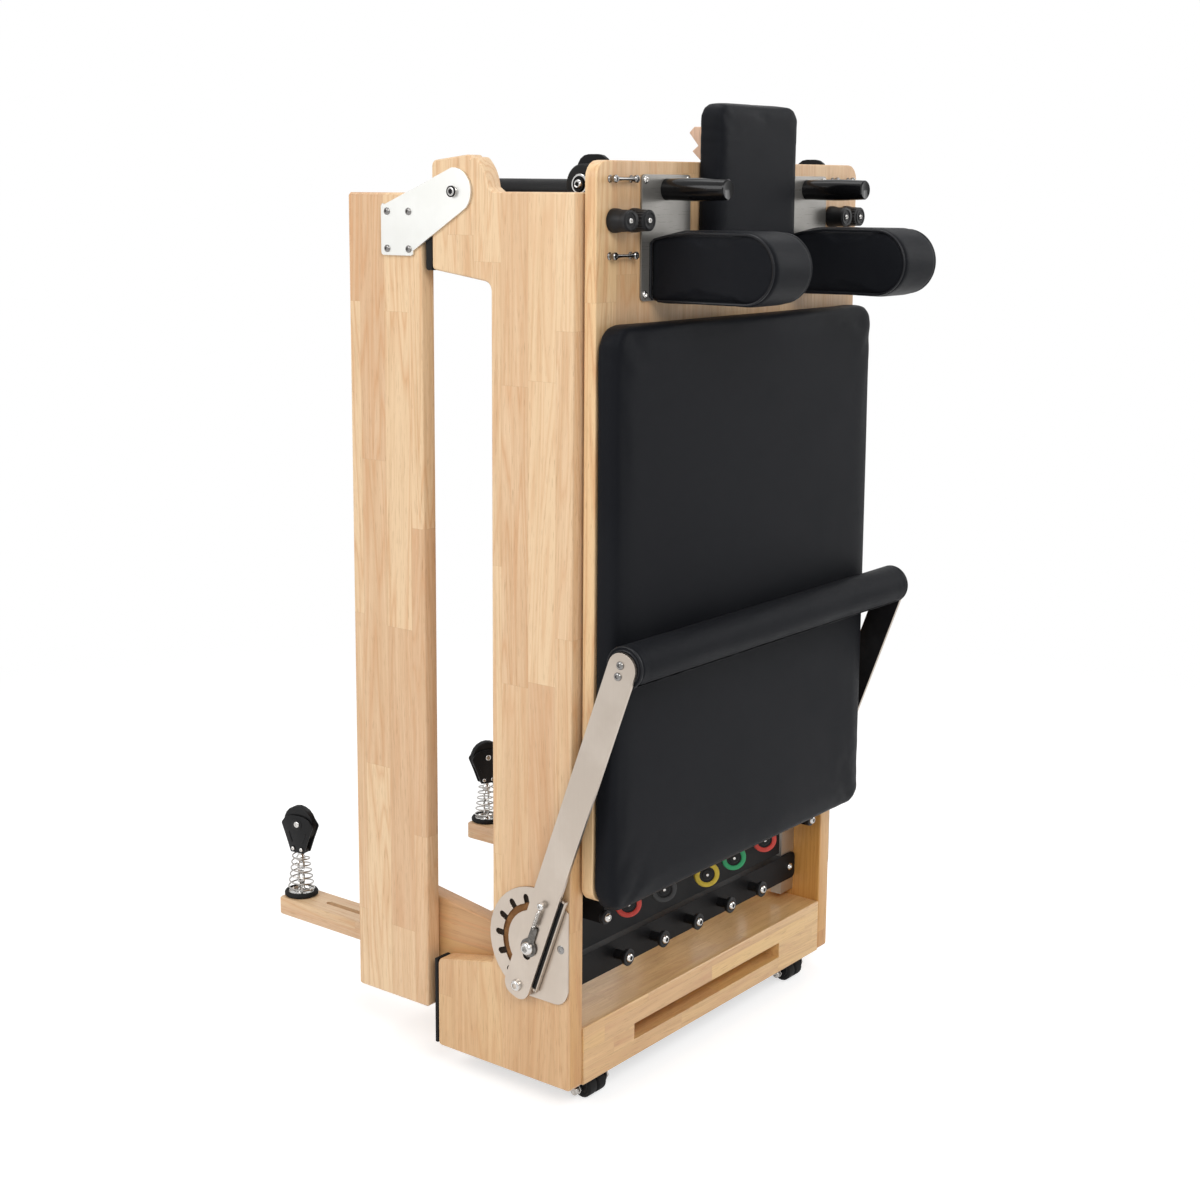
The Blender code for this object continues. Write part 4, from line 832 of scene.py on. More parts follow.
def addCams():
    look = {"drum": 0.0155, "radius": 0.0138, "lobe": 0.0180, "teeth": 8, "back": 0.0245, "waist": 0.0365,
            "front": 0.0527, "rivet": 0.0034}
    drum, radius, rim, rivet = look["drum"], look["radius"], look["radius"] - 0.0018, look["rivet"]
    tall = look["waist"] - look["back"]
    barrel = [(0, 0), (drum - 0.0008, 0), (drum, 0.0008), (drum, tall * 0.45), (drum - 0.0006, tall * 0.8),
              (radius + 0.0002, tall), (radius, tall + 0.0080), (0, tall + 0.0080)]
    face = [(rim, 0.0), (rim - 0.0004, 0.0010), (rim - 0.0012, 0.0012), (rim - 0.0022, 0.0010),
            (rim - 0.0026, 0.0002), (0.0062, 0.0001), (0.0056, 0.0009), (0.0042, 0.0009)]
    button = [(rivet - 0.0002, -0.001), (rivet, 0.0006), (rivet - 0.0005, 0.0014), (rivet * 0.55, 0.0014),
              (rivet * 0.45, 0.0002), (0, 0.0002)]
    front = -look["front"] + 0.0010
    for word, wordTail, side in sides:
        for tag, depth, towards in (("outer", 0.049, -side), ("inner", 0.0895, side)):
            x = fromRail(side, depth)
            outline = camShape(x, towards, radius - 0.0002, look["lobe"], look["teeth"])
            name, node = "cam%s%s" % (wordTail, tag.capitalize()), "cam_%s_%s" % (word, tag)
            build(name, blackPlastic, node + "_body", (lathe, barrel, (x, -look["back"], camZ), toFront, 44),
                  (disc, outline, "y", front, -look["waist"] - 0.0016, 0.0007),
                  (lathe, face, (x, front, camZ), toFront, 36), smooth=30, node=node, slot="black_plastic")
            build(name + "Rivet", chrome, node + "_body", (lathe, button, (x, front - 0.0004, camZ), toFront, 24))


addCams()
print("screws and rope fittings made")


# Padded pieces


def puff(piece, pressure, cap, stiffness, inside, hold):
    # swells a closed shell like a stuffed cover, then keeps the result as its mesh
    start = [v.co.copy() for v in piece.data.vertices]
    group = piece.vertex_groups.new(name="held")
    group.add([v.index for v in piece.data.vertices if hold(v.co)], 1.0, "REPLACE")
    cloth = piece.modifiers.new("puff", "CLOTH")
    settings = cloth.settings
    settings.quality = 4
    settings.mass = 0.3
    settings.tension_stiffness = stiffness
    settings.compression_stiffness = stiffness
    settings.shear_stiffness = stiffness * 0.5
    settings.bending_stiffness = 2.0
    settings.use_pressure = True
    settings.uniform_pressure_force = pressure
    settings.effector_weights.gravity = 0
    settings.vertex_group_mass = "held"
    frames = 20
    cloth.point_cache.frame_start = 1
    cloth.point_cache.frame_end = frames
    scene = bpy.context.scene
    for number in range(1, frames + 1):
        scene.frame_set(number)
    shaped = piece.evaluated_get(bpy.context.evaluated_depsgraph_get())
    moved = [v.co.copy() for v in shaped.data.vertices]
    piece.modifiers.remove(cloth)
    low, high = inside
    for v, before, after in zip(piece.data.vertices, start, moved):
        step = after - before
        if step.length > cap:
            step = step.normalized() * cap
        v.co = Vector(min(max(c, a), b) for c, a, b in zip(before + step, low, high))
    scene.frame_set(1)


def fillBox(piece, low, high):
    # stretches a padded piece so that it keeps the size of its solid
    places = [v.co for v in piece.data.vertices]
    least = [min(co[i] for co in places) for i in range(3)]
    most = [max(co[i] for co in places) for i in range(3)]
    for v in piece.data.vertices:
        v.co = Vector(low[i] + (v.co[i] - least[i]) * (high[i] - low[i]) / (most[i] - least[i]) for i in range(3))


def evenShell(piece, voxel):
    # gives a closed shell even faces, and eases its corners
    modifier = piece.modifiers.new("even faces", "REMESH")
    modifier.mode = "VOXEL"
    modifier.voxel_size = voxel
    shaped = piece.evaluated_get(bpy.context.evaluated_depsgraph_get())
    mesh = bpy.data.meshes.new_from_object(shaped)
    piece.modifiers.remove(modifier)
    old = piece.data
    for material in old.materials:
        if not mesh.materials.get(material.name):
            mesh.materials.append(material)
    piece.data = mesh
    bpy.data.meshes.remove(old)
    easeMesh(piece, 1)


def easeMesh(piece, rounds):
    bm = bmesh.new()
    bm.from_mesh(piece.data)
    for _ in range(rounds):
        bmesh.ops.smooth_vert(bm, verts=bm.verts, factor=0.5, use_axis_x=True, use_axis_y=True, use_axis_z=True)
    bm.to_mesh(piece.data)
    bm.free()


def wrinkle(piece, centre, reach, depth, scale, seed):
    # shallow folds of the cover near one place
    middle = Vector(centre) + toFrame
    mesh = piece.data
    normals = [v.normal.copy() for v in mesh.vertices]
    for v, normal in zip(mesh.vertices, normals):
        fade = 1 - (v.co - middle).length / reach
        if fade <= 0:
            continue
        wave = noise.noise(Vector((v.co.x * scale[0] + seed, v.co.y * scale[1], v.co.z * scale[2])))
        v.co += normal * (depth * wave * fade * fade * (3 - 2 * fade))


def finishPad(piece, node, body, low, high):
    fillBox(piece, low, high)
    piece.data.shade_smooth()
    subdivision = piece.modifiers.new("soft", "SUBSURF")
    subdivision.levels = 1
    subdivision.render_levels = 1
    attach(piece, body)
    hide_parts(node)


def addFlatPad(name, node, body, look):
    # a pad that lies on a board, held there at its back
    outline = roundedBox((-look["half"], look["foot"]), (look["half"], look["top"]), look["corner"], 8)
    bm = bmesh.new()
    disc(bm, outline, "y", look["front"], look["back"])
    faces = {word: [f for f in bm.faces if abs(f.calc_center_median().y - look[word]) < 1e-4] for word in look["rims"]}
    for word, width in look["rims"].items():
        rim = {e for f in faces[word] if f.is_valid for e in f.edges}
        bevelEdges(bm, list(rim), width, look["segments"])
    piece = finishPiece(name, bm, hide, None, smooth=0)
    evenShell(piece, look["voxel"])
    low, high = (Vector(corner) + toFrame for corner in look["box"])
    puff(piece, *look["puff"], (low, high), lambda co: co.y > toFrame.y - 0.0262)
    easeMesh(piece, look["ease"])
    for values in look["wrinkles"]:
        wrinkle(piece, *values)
    below, above = look["spare"]
    finishPad(piece, node, body, low - Vector(below), high + Vector(above))


def addCushion():
    look = {"half": 0.3163, "foot": 0.2614, "top": 1.0326, "corner": 0.030, "back": -0.0246, "front": -0.0590,
            "rims": {"front": 0.0065}, "segments": 6, "voxel": 0.0070, "puff": (2.4, 0.0026, 20.0), "ease": 1,
            "box": ((-0.3175, -0.0618, 0.2600), (0.3175, -0.0243, 1.0340)),
            "wrinkles": [((side * 0.30, -0.05, z), reach, 0.0016, scale, seed)
                         for z, reach, scale, seeds in ((1.01, 0.10, (30, 30, 70), (3.1, 5.7)),
                                                        (0.29, 0.12, (45, 30, 60), (1.4, 8.2)))
                         for side, seed in zip((-1, 1), seeds)],
            "spare": ((0.0022, 0, 0.0010), (0.0022, 0, 0.0010))}
    addFlatPad("cushionPad", "cushion", "carriage", look)


def addHeadrest():
    look = {"half": 0.0975, "foot": 1.0760, "top": 1.3152, "corner": 0.021, "back": -0.0248, "front": -0.0578,
            "rims": {"front": 0.0075, "back": 0.004}, "segments": 5, "voxel": 0.0045, "puff": (1.6, 0.0014, 18.0),
            "ease": 2, "box": ((-0.0985, -0.0600, 1.0750), (0.0985, -0.0243, 1.3160)),
            "wrinkles": (((-0.095, -0.045, 1.27), 0.065, 0.0012, (60, 40, 170), 2.3),
                         ((-0.09, -0.04, 1.13), 0.060, 0.0014, (60, 40, 160), 6.3),
                         ((0.095, -0.045, 1.29), 0.050, 0.0012, (60, 40, 160), 9.3)),
            "spare": ((0.0018, 0.0008, 0), (0.0018, 0, 0.0018))}
    addFlatPad("headrestPad", "headrest", "headrest_body", look)


def padOutline(reach, back, foot, high, radius, steps=14):
    # seen from the side: square at the plate, half round at the far end
    top = foot + high
    points = [(back - 0.012, foot), (back - 0.004, foot + 0.0015), (back, foot + 0.006), (back, top - 0.0135),
              (back - 0.006, top - 0.0085), (back - 0.024, top - 0.0040), (back - 0.060, top)]
    points += circleArc((reach + radius, top - radius), radius, 90, 180, steps)
    points += circleArc((reach + radius, foot + radius), radius, 180, 270, steps)
    return points


def pipingPath(look, x):
    # a seam set in from the rim of a shoulder pad's face
    inset = look["inset"]
    outline = padOutline(look["reach"] + inset, look["back"] - 0.001, look["foot"] + inset, look["high"] - 2 * inset,
                         look["round"] - inset, 20)
    points = [Vector((x, y, z)) for y, z in outline[1:] + outline[:1]]
    path = []
    for a, b in zip(points, points[1:]):
        pieces = max(1, int((b - a).length / look["stitch"]))
        path += [a + (b - a) * i / pieces for i in range(pieces)]
    return path + [points[-1]]


def addShoulderPads():
    look = {"near": 0.1234, "far": 0.2126, "reach": -0.2200, "back": -0.0278, "foot": 1.0584, "high": 0.0932,
            "round": 0.0464, "edge": 0.0050, "voxel": 0.0036, "inset": 0.0030, "stitch": 0.006}
    spare = Vector((0.0012, 0, 0.0004))
    for word, tail, side in sides:
        left, right = span(side, look["near"], look["far"])
        outline = padOutline(look["reach"], look["back"], look["foot"], look["high"], look["round"])
        piece = build("shoulderPad" + tail, hide, None, (disc, outline, "x", left, right, look["edge"], 4), smooth=0)
        evenShell(piece, look["voxel"])
        node = "shoulder_pad_" + word
        low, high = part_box(node)
        puff(piece, 5.0, 0.0045, 14.0, (low - spare, high + spare), lambda co: co.y > toFrame.y - 0.0292)
        wrinkle(piece, (fromRail(side, look["near"]), -0.04, 1.085), 0.035, 0.0016, (60, 90, 120), 4.1)
        finishPad(piece, node, "carriage", low, high)
        # sewn piping round both faces
        for tag, x in (("Outer", left + 0.0008), ("Inner", right - 0.0008)):
            build("piping" + tail + tag, weltHide, "carriage", (tube, pipingPath(look, x), 0.0019),
                  slot="black_leather")


def creaseBar(bm, look):
    # the seam's lip and groove, soft dents, and tight folds near the ends
    lip, groove, dent, fold = 0.0011, 0.0016, 0.00045, 0.0013
    foldReach = 0.035

    def ripple(along, angle, spread):
        return noise.noise(Vector((along, math.cos(angle) * spread, math.sin(angle) * spread)))

    for v in bm.verts:
        around = math.hypot(v.co.y, v.co.z)
        if around < look["radius"] - 0.004:
            continue
        angle, along = math.atan2(v.co.z, -v.co.y) % (2 * math.pi), v.co.x
        away = (angle - look["seam"] + math.pi) % (2 * math.pi) - math.pi
        change = lip * math.exp(-((away - 0.09) / 0.07) ** 2) - groove * math.exp(-((away + 0.035) / 0.035) ** 2)
        change *= 1 + 0.35 * noise.noise(Vector((along * 45, 3.0, 0)))
        change += dent * ripple(along * 16, angle, 2.2)
        nearEnd = max(0, 1 - (look["end"] - abs(along)) / foldReach)
        change += fold * nearEnd * ripple(along * 210 + 9, angle, 1.4)
        scale = (around + change) / around
        v.co.y *= scale
        v.co.z *= scale


def addFootBarPad():
    look = {"long": 0.436, "ahead": 0.151, "end": 0.3428, "radius": 0.0283, "edge": 0.0065, "steps": 96, "rows": 150,
            "seam": math.radians(316), "shade": -0.035, "seamLong": 0.66, "linePoints": 90}
    lean = math.asin(look["ahead"] / look["long"])
    centre = Vector((0, pivotY - look["long"] * math.sin(lean), pivotZ + look["long"] * math.cos(lean)))
    end, radius, edge, rows = look["end"], look["radius"], look["edge"], look["rows"]
    corner = circleArc((radius - edge, edge - end), edge, -90, 0, 6)
    middle = [(radius, (edge - end) * (1 - 2 * i / rows)) for i in range(1, rows)]
    bm = bmesh.new()
    lathe(bm, [(0, -end)] + corner + middle + mirrored(corner) + [(0, end)], (0, 0, 0), (1, 0, 0), look["steps"])
    creaseBar(bm, look)
    bmesh.ops.translate(bm, verts=bm.verts, vec=centre)
    piece = finishPiece("footBarPad", bm, barHide, "footbar", smooth=50, node="footbar_pad", slot="black_leather")
    # a dark tube along the seam paints the bar's contact shadow on the cushion
    angle, away, linePoints = look["seam"] + look["shade"], radius - 0.0004, look["linePoints"]
    path = [Vector((0.003 - end + look["seamLong"] * i / linePoints, centre.y - away * math.cos(angle),
                    centre.z + away * math.sin(angle) + 0.0006 * noise.noise(Vector((i * 0.31, 2.0, 5.0)))))
            for i in range(linePoints + 1)]
    build("barSeam", seamShade, "footbar", (tube, path, 0.0015, 6))
    # the sewn disc in each end, with a glossy welt
    welt = [(0.0274, -0.0040), (0.0284, -0.0030), (0.0286, -0.0018), (0.0280, -0.0006), (0.0268, -0.0002),
            (0.0258, -0.0012), (0.0244, -0.0012), (0.0236, 0.0002), (0.0224, 0.0006), (0.0212, -0.0002), (0, -0.0002)]
    for word, tail, side in sides:
        build("barEnd" + tail, weltHide, "footbar", (lathe, welt, (side * end, centre.y, centre.z), (side, 0, 0), 64))


addCushion()
addHeadrest()
addShoulderPads()
addFootBarPad()
print("padded pieces made")


# Springs of the carriage


def helix(low, high, radii, turns, perTurn, across=Vector((1, 0, 0)), sideways=Vector((0, 1, 0))):
    # a coil from low to high, whose radius goes from the first of radii to the second
    total = abs(turns) * perTurn
    points = []
    for i in range(total + 1):
        share = i / total
        angle = 2 * math.pi * turns * share
        away = radii[0] + (radii[1] - radii[0]) * share
        points.append(low.lerp(high, share) + (across * math.cos(angle) + sideways * math.sin(angle)) * away)
    return points


def addCarriageSprings():
    look = {"spacing": 0.089, "y": 0.024, "foot": 0.266, "top": 0.583, "radius": 0.0092, "wire": 0.0016,
            "turn": math.radians(-38)}
    y, radius = look["y"], look["radius"]
    across = Vector((math.sin(look["turn"]), -math.cos(look["turn"]), 0))
    endCap = [(0, 0), (0.0070, 0), (0.0086, 0.004), (0.0078, 0.012), (0.0036, 0.018), (0.0036, 0.030), (0, 0.030)]
    eye = [(0.0120, -0.0036), (0.0134, -0.0046), (0.0168, -0.0050), (0.0188, -0.0040), (0.0195, -0.0020)]
    eye += mirrored(eye) + eye[:1]
    eyeCap = [(0, -0.0028), (0.0121, -0.0028), (0.0121, 0.0024), (0.0082, 0.0028), (0.0074, 0.0040), (0.0036, 0.0046),
              (0, 0.0046)]
    slots = {"red": "red_rubber", "black": "black_plastic", "yellow": "yellow_rubber", "green": "green_rubber"}
    springs = (("red", 0.004, 0.216), ("black", 0, 0.213), ("yellow", 0.020, 0.204), ("green", 0.002, 0.210),
               ("red", -0.002, 0.215))
    for number, (color, swing, eyeZ) in enumerate(springs, 1):
        x = (number - 3) * look["spacing"] + swing
        name, middle = "spring%d" % number, Vector((x, y, eyeZ))
        coil = helix(Vector((x, y, look["foot"])), Vector((x, y, look["top"])), (radius, radius), 62, 9)
        neck = look["foot"] - eyeZ - 0.010
        hook = [(0, 0), (0.0034, 0), (0.0036, 0.004), (0.0036, neck - 0.014), (0.0078, neck - 0.008),
                (0.0086, neck + 0.002), (0.0070, neck + 0.006), (0, neck + 0.006)]
        build(name, springSteel, "carriage", (tube, coil, look["wire"], 5),
              (lathe, hook, (x, y, eyeZ + 0.012), upward, 20), (lathe, endCap, (x, y, 0.580), upward, 20),
              node="spring_%d" % number, slot="black_plastic")
        build(name + "Eye", eyeRubber[color], "carriage", (lathe, eye, middle, across, 44), slot=slots[color])
        build(name + "Cap", blackPlastic, "carriage", (lathe, eyeCap, middle, across, 32), slot="black_plastic")
        build(name + "Rivet", chrome, "carriage", (screwHead, middle + across * 0.0044, across, 0.0024, 0.0012))
        build(name + "Anchor", blackPaint, "carriage",
              (block, (x - 0.011, -0.0046, 0.597), (x + 0.011, 0.0305, 0.6125), 0.002))


addCarriageSprings()


# Wheels


def addCarriageWheels():
    look = {"radius": 0.0259, "half": 0.0088, "y": 0.0237, "depth": 0.0526}
    half, radius = look["half"], look["radius"]
    tyre = [(0.0128, -half + 0.0016), (0.0136, -half), (radius - 0.0052, -half), (radius - 0.0020, -half + 0.0010),
            (radius, -half + 0.0036)]
    tyre += mirrored(tyre) + tyre[:1]
    hub = [(0.0053, -half + 0.0006), (0.0128, -half + 0.0006), (0.0128, half - 0.0006), (0.0112, half - 0.0006),
           (0.0104, half - 0.0016), (0.0084, half - 0.0016), (0.0078, half - 0.0004), (0.0053, half - 0.0004)]
    ring = [(0.0096, 0.0), (0.0132, 0.0002), (0.0132, 0.0018), (0.0122, 0.0028), (0.0104, 0.0028), (0.0096, 0.0018)]
    washer = [(0, 0), (0.0097, 0), (0.0097, 0.0008), (0.0080, 0.0010), (0.0074, 0.0022), (0, 0.0022)]
    number = 0
    for z in (1.210, 0.330):
        for word, tail, side in sides:
            number += 1
            node, outward = "carriage_wheel_%d" % number, (side, 0, 0)
            centre = (fromRail(side, look["depth"]), look["y"], z)
            outer = (fromRail(side, 0.0431), look["y"], z)
            build("wheel%d" % number, rubber, node + "_body", (lathe, tyre, centre, outward, 56), node=node,
                  slot="black_rubber")
            build("wheelHub%d" % number, nylon, node + "_body", (lathe, hub + hub[:1], centre, outward, 40))
            build("axleRing%d" % number, chrome, "carriage", (lathe, ring + ring[:1], outer, outward, 40))
            build("axleWasher%d" % number, blackPaint, "carriage", (lathe, washer, outer, outward, 40))
            addScrews("axleScrew%d" % number, "carriage", [(fromRail(side, 0.0409), look["y"], z)], 0.0066, 0.0054,
                      outward)


def addCasterNuts():
    look = {"nut": 0.0068, "z": -0.0205, "wide": 0.040, "stand": 0.0041}
    stud = [(0, -0.002), (0.0040, -0.002), (0.0040, 0.0034), (0.0060, 0.0036), (0.0062, 0.0066), (0.0050, 0.0080),
            (0.0026, 0.0082), (0, 0.0066)]
    number = 0
    for depth, y in ((0.056, 0.026), (0.080, 0.214)):
        hexagon = circleArc((y, look["z"]), look["nut"], 0, 300, 5)
        for word, tail, side in sides:
            number += 1
            shapes = []
            for place, outward in ((depth - look["stand"], side), (depth + look["wide"] + look["stand"], -side)):
                start = fromRail(side, place)
                faces = sorted((start - outward * 0.0004, start + outward * 0.0048))
                shapes += [(disc, hexagon, "x", *faces, 0.0006),
                           (lathe, stud, (start + outward * 0.0046, y, look["z"]), (outward, 0, 0), 20)]
            build("casterNuts%d" % number, springSteel, "foot_frame", *shapes)


addCarriageWheels()
addCasterNuts()
print("springs and wheels made")


# Foot bar's pivot: washer, lug and the small spring that pulls the bar into its notch


def addPivots():
    look = {"lean": math.radians(20.3), "coil": 0.0026, "wire": 0.00075, "turns": 11, "foot": 0.0310, "top": 0.0655,
            "post": 0.0695}
    away = Vector((0, -math.sin(look["lean"]), math.cos(look["lean"])))
    bolt = [(0.0060, -0.0320), (0.0060, -0.0155), (0.0060, -0.0130), (0.0120, -0.0130), (0.0120, -0.0056),
            (0.0060, -0.0056), (0.0060, 0.0), (0.0125, 0.0), (0.0130, 0.0006), (0.0130, 0.0022), (0.0122, 0.0028),
            (0.0100, 0.0028), (0, 0.0028)]
    lug = [(0.0058, 0.0120), (0.0052, 0.0318), (0.0036, 0.0340)]
    lug = circleArc((0, 0), 0.0112, -180, 0, 18) + lug + [(-a, b) for a, b in reversed(lug)]
    post = [(0, 0.0), (0.0034, 0.0), (0.0034, 0.0040), (0.0046, 0.0044), (0.0046, 0.0054), (0, 0.0054)]
    for word, tail, side in sides:
        centre, outward = Vector((fromRail(side, -0.0163), pivotY, pivotZ)), Vector((side, 0, 0))
        # the washer is chrome; its dark steel is painted reflection of dark surroundings
        build("pivotBolt" + tail, darkSteel, "footbar_pivot", (lathe, bolt, centre, outward, 36),
              node="footbar_pivot_" + word, slot="chrome")
        addScrews("pivotHead" + tail, "footbar_pivot", [centre + outward * 0.0026], 0.0096, 0.0072, outward)
        # the lug lies on the washer and points towards the bar
        start = centre.x + 0.0003 if side > 0 else centre.x - 0.0027
        build("pivotLug" + tail, darkSteel, "footbar_pivot", (disc, lug, "x", 0.0, 0.0024, 0.0004, 1),
              (turnAndMove, Matrix.Rotation(look["lean"], 3, "X"), (start, centre.y, centre.z)))
        face = centre + outward * 0.0045
        low, high = face + away * look["foot"], face + away * look["top"]
        coil = helix(low.lerp(high, 0.14), low.lerp(high, 0.86), (look["coil"], look["coil"]), look["turns"], 10,
                     outward, outward.cross(away))
        hooks = outward * 0.0005
        path = [low + hooks, low.lerp(high, 0.07), *coil, low.lerp(high, 0.93), high + hooks]
        piece = build("pullSpring" + tail, springSteel, None, (tube, path, look["wire"], 6))
        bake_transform(piece)
        foot = centre + away * look["post"]
        build("springPost" + tail, chrome, "footbar", (lathe, post, foot, outward, 24),
              (screwHead, foot + outward * 0.0050, outward, 0.0052, 0.0036, 0.42))


addPivots()


# Pulleys


def oval(centre, across, wide, high, steps):
    return [centre + across * (wide * math.cos(a)) + Vector((0, 0, high * math.sin(a)))
            for a in [2 * math.pi * i / steps for i in range(steps)]]


def pulleyPlates(inside, thick, boltZ, axleZ):
    # side plates, cut like a shield, with raised slots, bosses and hub
    shield = [(0.0126, 0.1728), (0.0138, 0.1750), (0.0212, 0.1950), (0.0292, 0.2145), (0.0302, 0.2172),
              (0.0294, 0.2202), (0.0228, 0.2284), (0.0140, 0.2322), (0.0040, 0.2334)]
    outline = shield + [(-a, b) for a, b in reversed(shield)]
    rib = ((0.0090, 0.1895), (0.0110, 0.1885), (0.0176, 0.2050), (0.0154, 0.2060))
    outer = inside + thick
    shapes = [(block, (-inside - 0.0002, -0.0120, 0.1730), (inside + 0.0002, 0.0120, 0.1812), 0.0008)]
    for way in (-1, 1):
        axis, raised = (way, 0, 0), way * (outer - 0.0002)
        shapes.append((disc, outline, "x", *sorted((way * inside, way * outer)), 0.0008))
        for place in (-1, 1):
            shapes += [(lathe, [(0, 0), (0.0042, 0), (0.0040, 0.0010), (0, 0.0010)], (raised, place * 0.0080, boltZ),
                        axis, 20),
                       (disc, [(place * a, b) for a, b in rib][::place], "x",
                        *sorted((raised, way * (outer + 0.0006))))]
        shapes.append((lathe, [(0, 0), (0.0098, 0), (0.0096, 0.0008), (0.0080, 0.0012), (0, 0.0012)],
                       (raised, 0, axleZ), axis, 32))
    return shapes


def addPulleys():
    look = {"left": (0.6275, 8), "right": (0.6365, 64), "foot": 0.1026, "inside": 0.0064, "thick": 0.0026,
            "boltZ": 0.1790, "axleZ": 0.2190, "coil": (0.0205, 0.0125), "high": 0.0632, "wire": 0.0011}
    pad = [(0.0196, 0.0006), (0.0212, 0.0002), (0.0246, 0.0002), (0.0262, 0.0018), (0.0264, 0.0050), (0.0250, 0.0074),
           (0.0224, 0.0080), (0.0206, 0.0070), (0.0196, 0.0050), (0.0196, 0.0006)]
    dish = [(0, 0.0004), (0.0198, 0.0004), (0.0204, 0.0060), (0.0196, 0.0068), (0.0188, 0.0060), (0.0176, 0.0036),
            (0.0100, 0.0030), (0.0072, 0.0044), (0.0056, 0.0080), (0, 0.0086)]
    swivel = [(0, 0), (0.0062, 0), (0.0072, 0.0016), (0.0072, 0.0060), (0.0054, 0.0080), (0.0044, 0.0150), (0, 0.0150)]
    foot, wire, boltZ, axleZ = look["foot"], look["wire"], look["boltZ"], look["axleZ"]
    plates = pulleyPlates(look["inside"], look["thick"], boltZ, axleZ)
    outer = look["inside"] + look["thick"] + 0.0004
    rivets = [(screwHead, (way * outer, place, z), (way, 0, 0), radius, 0.0016, 0.45) for way in (-1, 1)
              for place, z, radius in ((0, axleZ, 0.0050), (-0.0080, boltZ, 0.0033), (0.0080, boltZ, 0.0033))]
    for word, tail, side in sides:
        y, angle = look[word]
        body, x = "pulley_" + word, fromRail(side, 0.105)
        base = Vector((x, y, foot))
        # a rubber ring on a steel dish
        build("pulleyBase" + tail, rubber, body, (lathe, pad, base, upward, 48), slot="black_rubber")
        build("pulleyDish" + tail, chrome, body, (lathe, dish, base, upward, 48))
        # the coil keeps the solid's route, with a finer wire surface
        low = base + Vector((0, 0, 0.0063 + 2 * wire))
        path = helix(low, low + Vector((0, 0, look["high"] - 4 * wire)), look["coil"], 6 * side, 36)
        build("pulleyCoil" + tail, springSteel, body, (tube, path, wire + 0.0001, 10), node="pulley_spring_" + word,
              slot="chrome")
        # swivel: eye bolt, shackle and ring inside the coil
        across, along = Vector((1, 0, 0)), Vector((0, 1, 0))
        loops = [(tube, oval(Vector((x, y, foot + lift)), way, wide, high, steps), thick, 8, True)
                 for lift, way, wide, high, steps, thick in ((0.0140, across, 0.0052, 0.0065, 24, 0.0017),
                                                             (0.0270, along, 0.0058, 0.0110, 28, 0.0021),
                                                             (0.0460, across, 0.0060, 0.0100, 28, 0.0019))]
        build("pulleySwivel" + tail, chrome, body, *loops, (lathe, swivel, (x, y, foot + 0.0560), upward, 24))
        turned = (turnAndMove, Matrix.Rotation(math.radians(angle), 3, "Z"), (x, y, 0))
        build("pulleyPlates" + tail, blackPlastic, body, *plates, turned, smooth=30, node="pulley_block_" + word,
              slot="black_plastic")
        build("pulleyRivets" + tail, chrome, body, *rivets, turned)


addPulleys()


def addEndBoard():
    # the cross board of the head half, with the two clamps that hold the risers
    look = {"top": 0.074, "depth": 0.105, "y": 0.376, "radius": 0.0116, "wave": 0.0008}
    low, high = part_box("head_end_board")
    build("endBoard", wood["end"], "head_half",
          (block, low - toFrame, Vector((high.x, high.y, look["top"] + toFrame.z)) - toFrame, 0.0010),
          node="head_end_board")
    knob = []
    for i in range(96):
        angle = 2 * math.pi * i / 96
        away = look["radius"] + look["wave"] * math.cos(6 * angle)
        knob.append((away * math.cos(angle), look["y"] + away * math.sin(angle)))
    stud = [(0, -0.0300), (0.0038, -0.0300), (0.0038, 0), (0.0060, 0), (0.0056, 0.0010), (0, 0.0012)]
    for word, tail, side in sides:
        x = fromRail(side, look["depth"])
        build("riserKnob" + tail, blackPlastic, "head_half",
              (disc, [(x + a, b) for a, b in knob], "z", 0.1026, 0.1110, 0.0018, 3),
              (lathe, stud, (x, look["y"], 0.1108), upward, 24))


addEndBoard()
print("pulleys and knobs made")


# Floor, light and camera


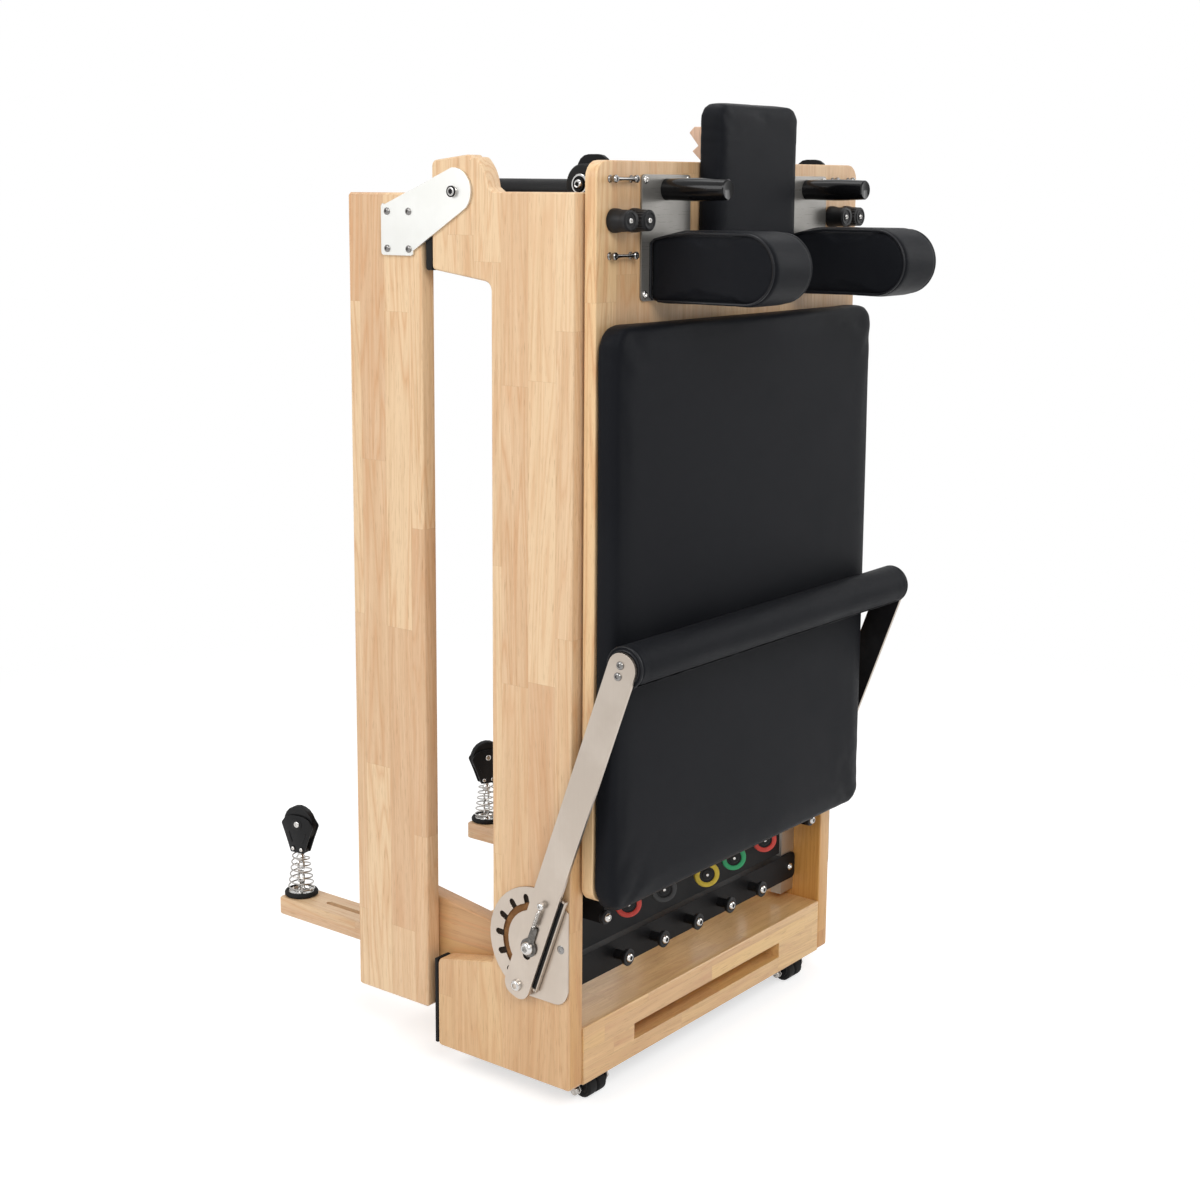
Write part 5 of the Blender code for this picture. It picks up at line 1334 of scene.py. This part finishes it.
def addStage():
    # the floor is pale with shadows near the object, and as white as the background farther out
    look = {"color": 0.93, "seen": 0.62, "lift": 0.63, "reach": 6.0, "sky": 0.32}
    material, tree, shader, where = newMaterial("paleFloor", 0.7, specular=0.2, preview=grey(look["color"]))
    reach = addNode(tree, "ShaderNodeVectorMath", {0: where}, operation="LENGTH").outputs[1]
    far = ramp(tree, compute(tree, "DIVIDE", reach, look["reach"]), [(0.16, 0), (0.42, 1)], smooth=True)
    path = addNode(tree, "ShaderNodeLightPath")
    seen = compute(tree, "MAXIMUM", path.outputs["Is Camera Ray"], path.outputs["Is Glossy Ray"])
    plain = addNode(tree, "ShaderNodeEmission", {"Color": (1, 1, 1, 1), "Strength": 1.0})
    lift = addNode(tree, "ShaderNodeEmission", {"Color": (1, 1, 1, 1),
                                                "Strength": compute(tree, "MULTIPLY", seen, look["lift"])})
    pale = mixColor(tree, seen, (*grey(look["color"]), 1), (*grey(look["seen"]), 1))
    tree.links.new(pale, shader.inputs["Base Color"])
    near = addNode(tree, "ShaderNodeAddShader", {0: shader.outputs[0], 1: lift.outputs[0]})
    blend = addNode(tree, "ShaderNodeMixShader", {0: compute(tree, "MULTIPLY", far, seen), 1: near.outputs[0],
                                                  2: plain.outputs[0]})
    tree.links.new(blend.outputs[0], tree.nodes["Material Output"].inputs["Surface"])
    bm = bmesh.new()
    bmesh.ops.create_circle(bm, cap_ends=True, segments=96, radius=14)
    finishPiece("floor", bm, material, None, smooth=0, placed=True)

    world = bpy.data.worlds.new("studio")
    world.use_nodes = True
    bpy.context.scene.world = world
    tree = world.node_tree
    background = tree.nodes["Background"]
    background.inputs["Color"].default_value = (1.0, 1.0, 1.0, 1)
    path = addNode(tree, "ShaderNodeLightPath")
    seen = compute(tree, "MAXIMUM", path.outputs["Is Camera Ray"], path.outputs["Is Transmission Ray"])
    seen = compute(tree, "MAXIMUM", seen, path.outputs["Is Glossy Ray"])
    strength = compute(tree, "MULTIPLY_ADD", seen, 1.0 - look["sky"], look["sky"])
    tree.links.new(strength, background.inputs["Strength"])


def addLamp(name, place, target, size, power):
    data = bpy.data.lights.new(name, "AREA")
    data.shape = "RECTANGLE"
    data.size, data.size_y = size
    data.energy = power
    lamp = bpy.data.objects.new(name, data)
    lamp.location = place
    lamp.rotation_euler = (Vector(target) - Vector(place)).to_track_quat("-Z", "Y").to_euler()
    bpy.context.scene.collection.objects.link(lamp)


def addCamera():
    look = {"yaw": 51.89, "pitch": -9.72, "roll": 0.29, "lens": 57.87, "shift": (0.0130, -0.0698),
            "place": (-2.2395, -1.515, 1.208)}
    yaw, pitch, roll = (math.radians(look[word]) for word in ("yaw", "pitch", "roll"))
    ahead = Vector((math.sin(yaw) * math.cos(pitch), math.cos(yaw) * math.cos(pitch), math.sin(pitch)))
    right = Vector((math.cos(yaw), -math.sin(yaw), 0))
    up = right.cross(ahead)
    rolledRight = right * math.cos(roll) + up * math.sin(roll)
    rolledUp = up * math.cos(roll) - right * math.sin(roll)
    data = bpy.data.cameras.new("camera")
    data.sensor_width = 36
    data.lens = look["lens"]
    data.shift_x, data.shift_y = look["shift"]
    camera = bpy.data.objects.new("camera", data)
    matrix = Matrix((rolledRight, rolledUp, -ahead)).transposed().to_4x4()
    matrix.translation = Vector(look["place"]) + toFrame
    camera.matrix_world = matrix
    bpy.context.scene.collection.objects.link(camera)
    bpy.context.scene.camera = camera


addStage()
addLamp("keyLamp", (-2.6, -3.2, 3.4), (0, 0, 0.7), (2.4, 2.0), 100)
addLamp("sideLamp", (-3.5, 1.2, 2.6), (0, 0, 0.9), (2.0, 2.0), 56)
addLamp("fillLamp", (3.2, -2.2, 2.2), (0, 0, 0.6), (2.0, 2.0), 33)
addLamp("topLamp", (0.2, 0.2, 4.2), (0, 0, 0), (2.6, 2.6), 52)
addCamera()
bpy.context.scene.view_settings.view_transform = "Standard"
print("stage made")
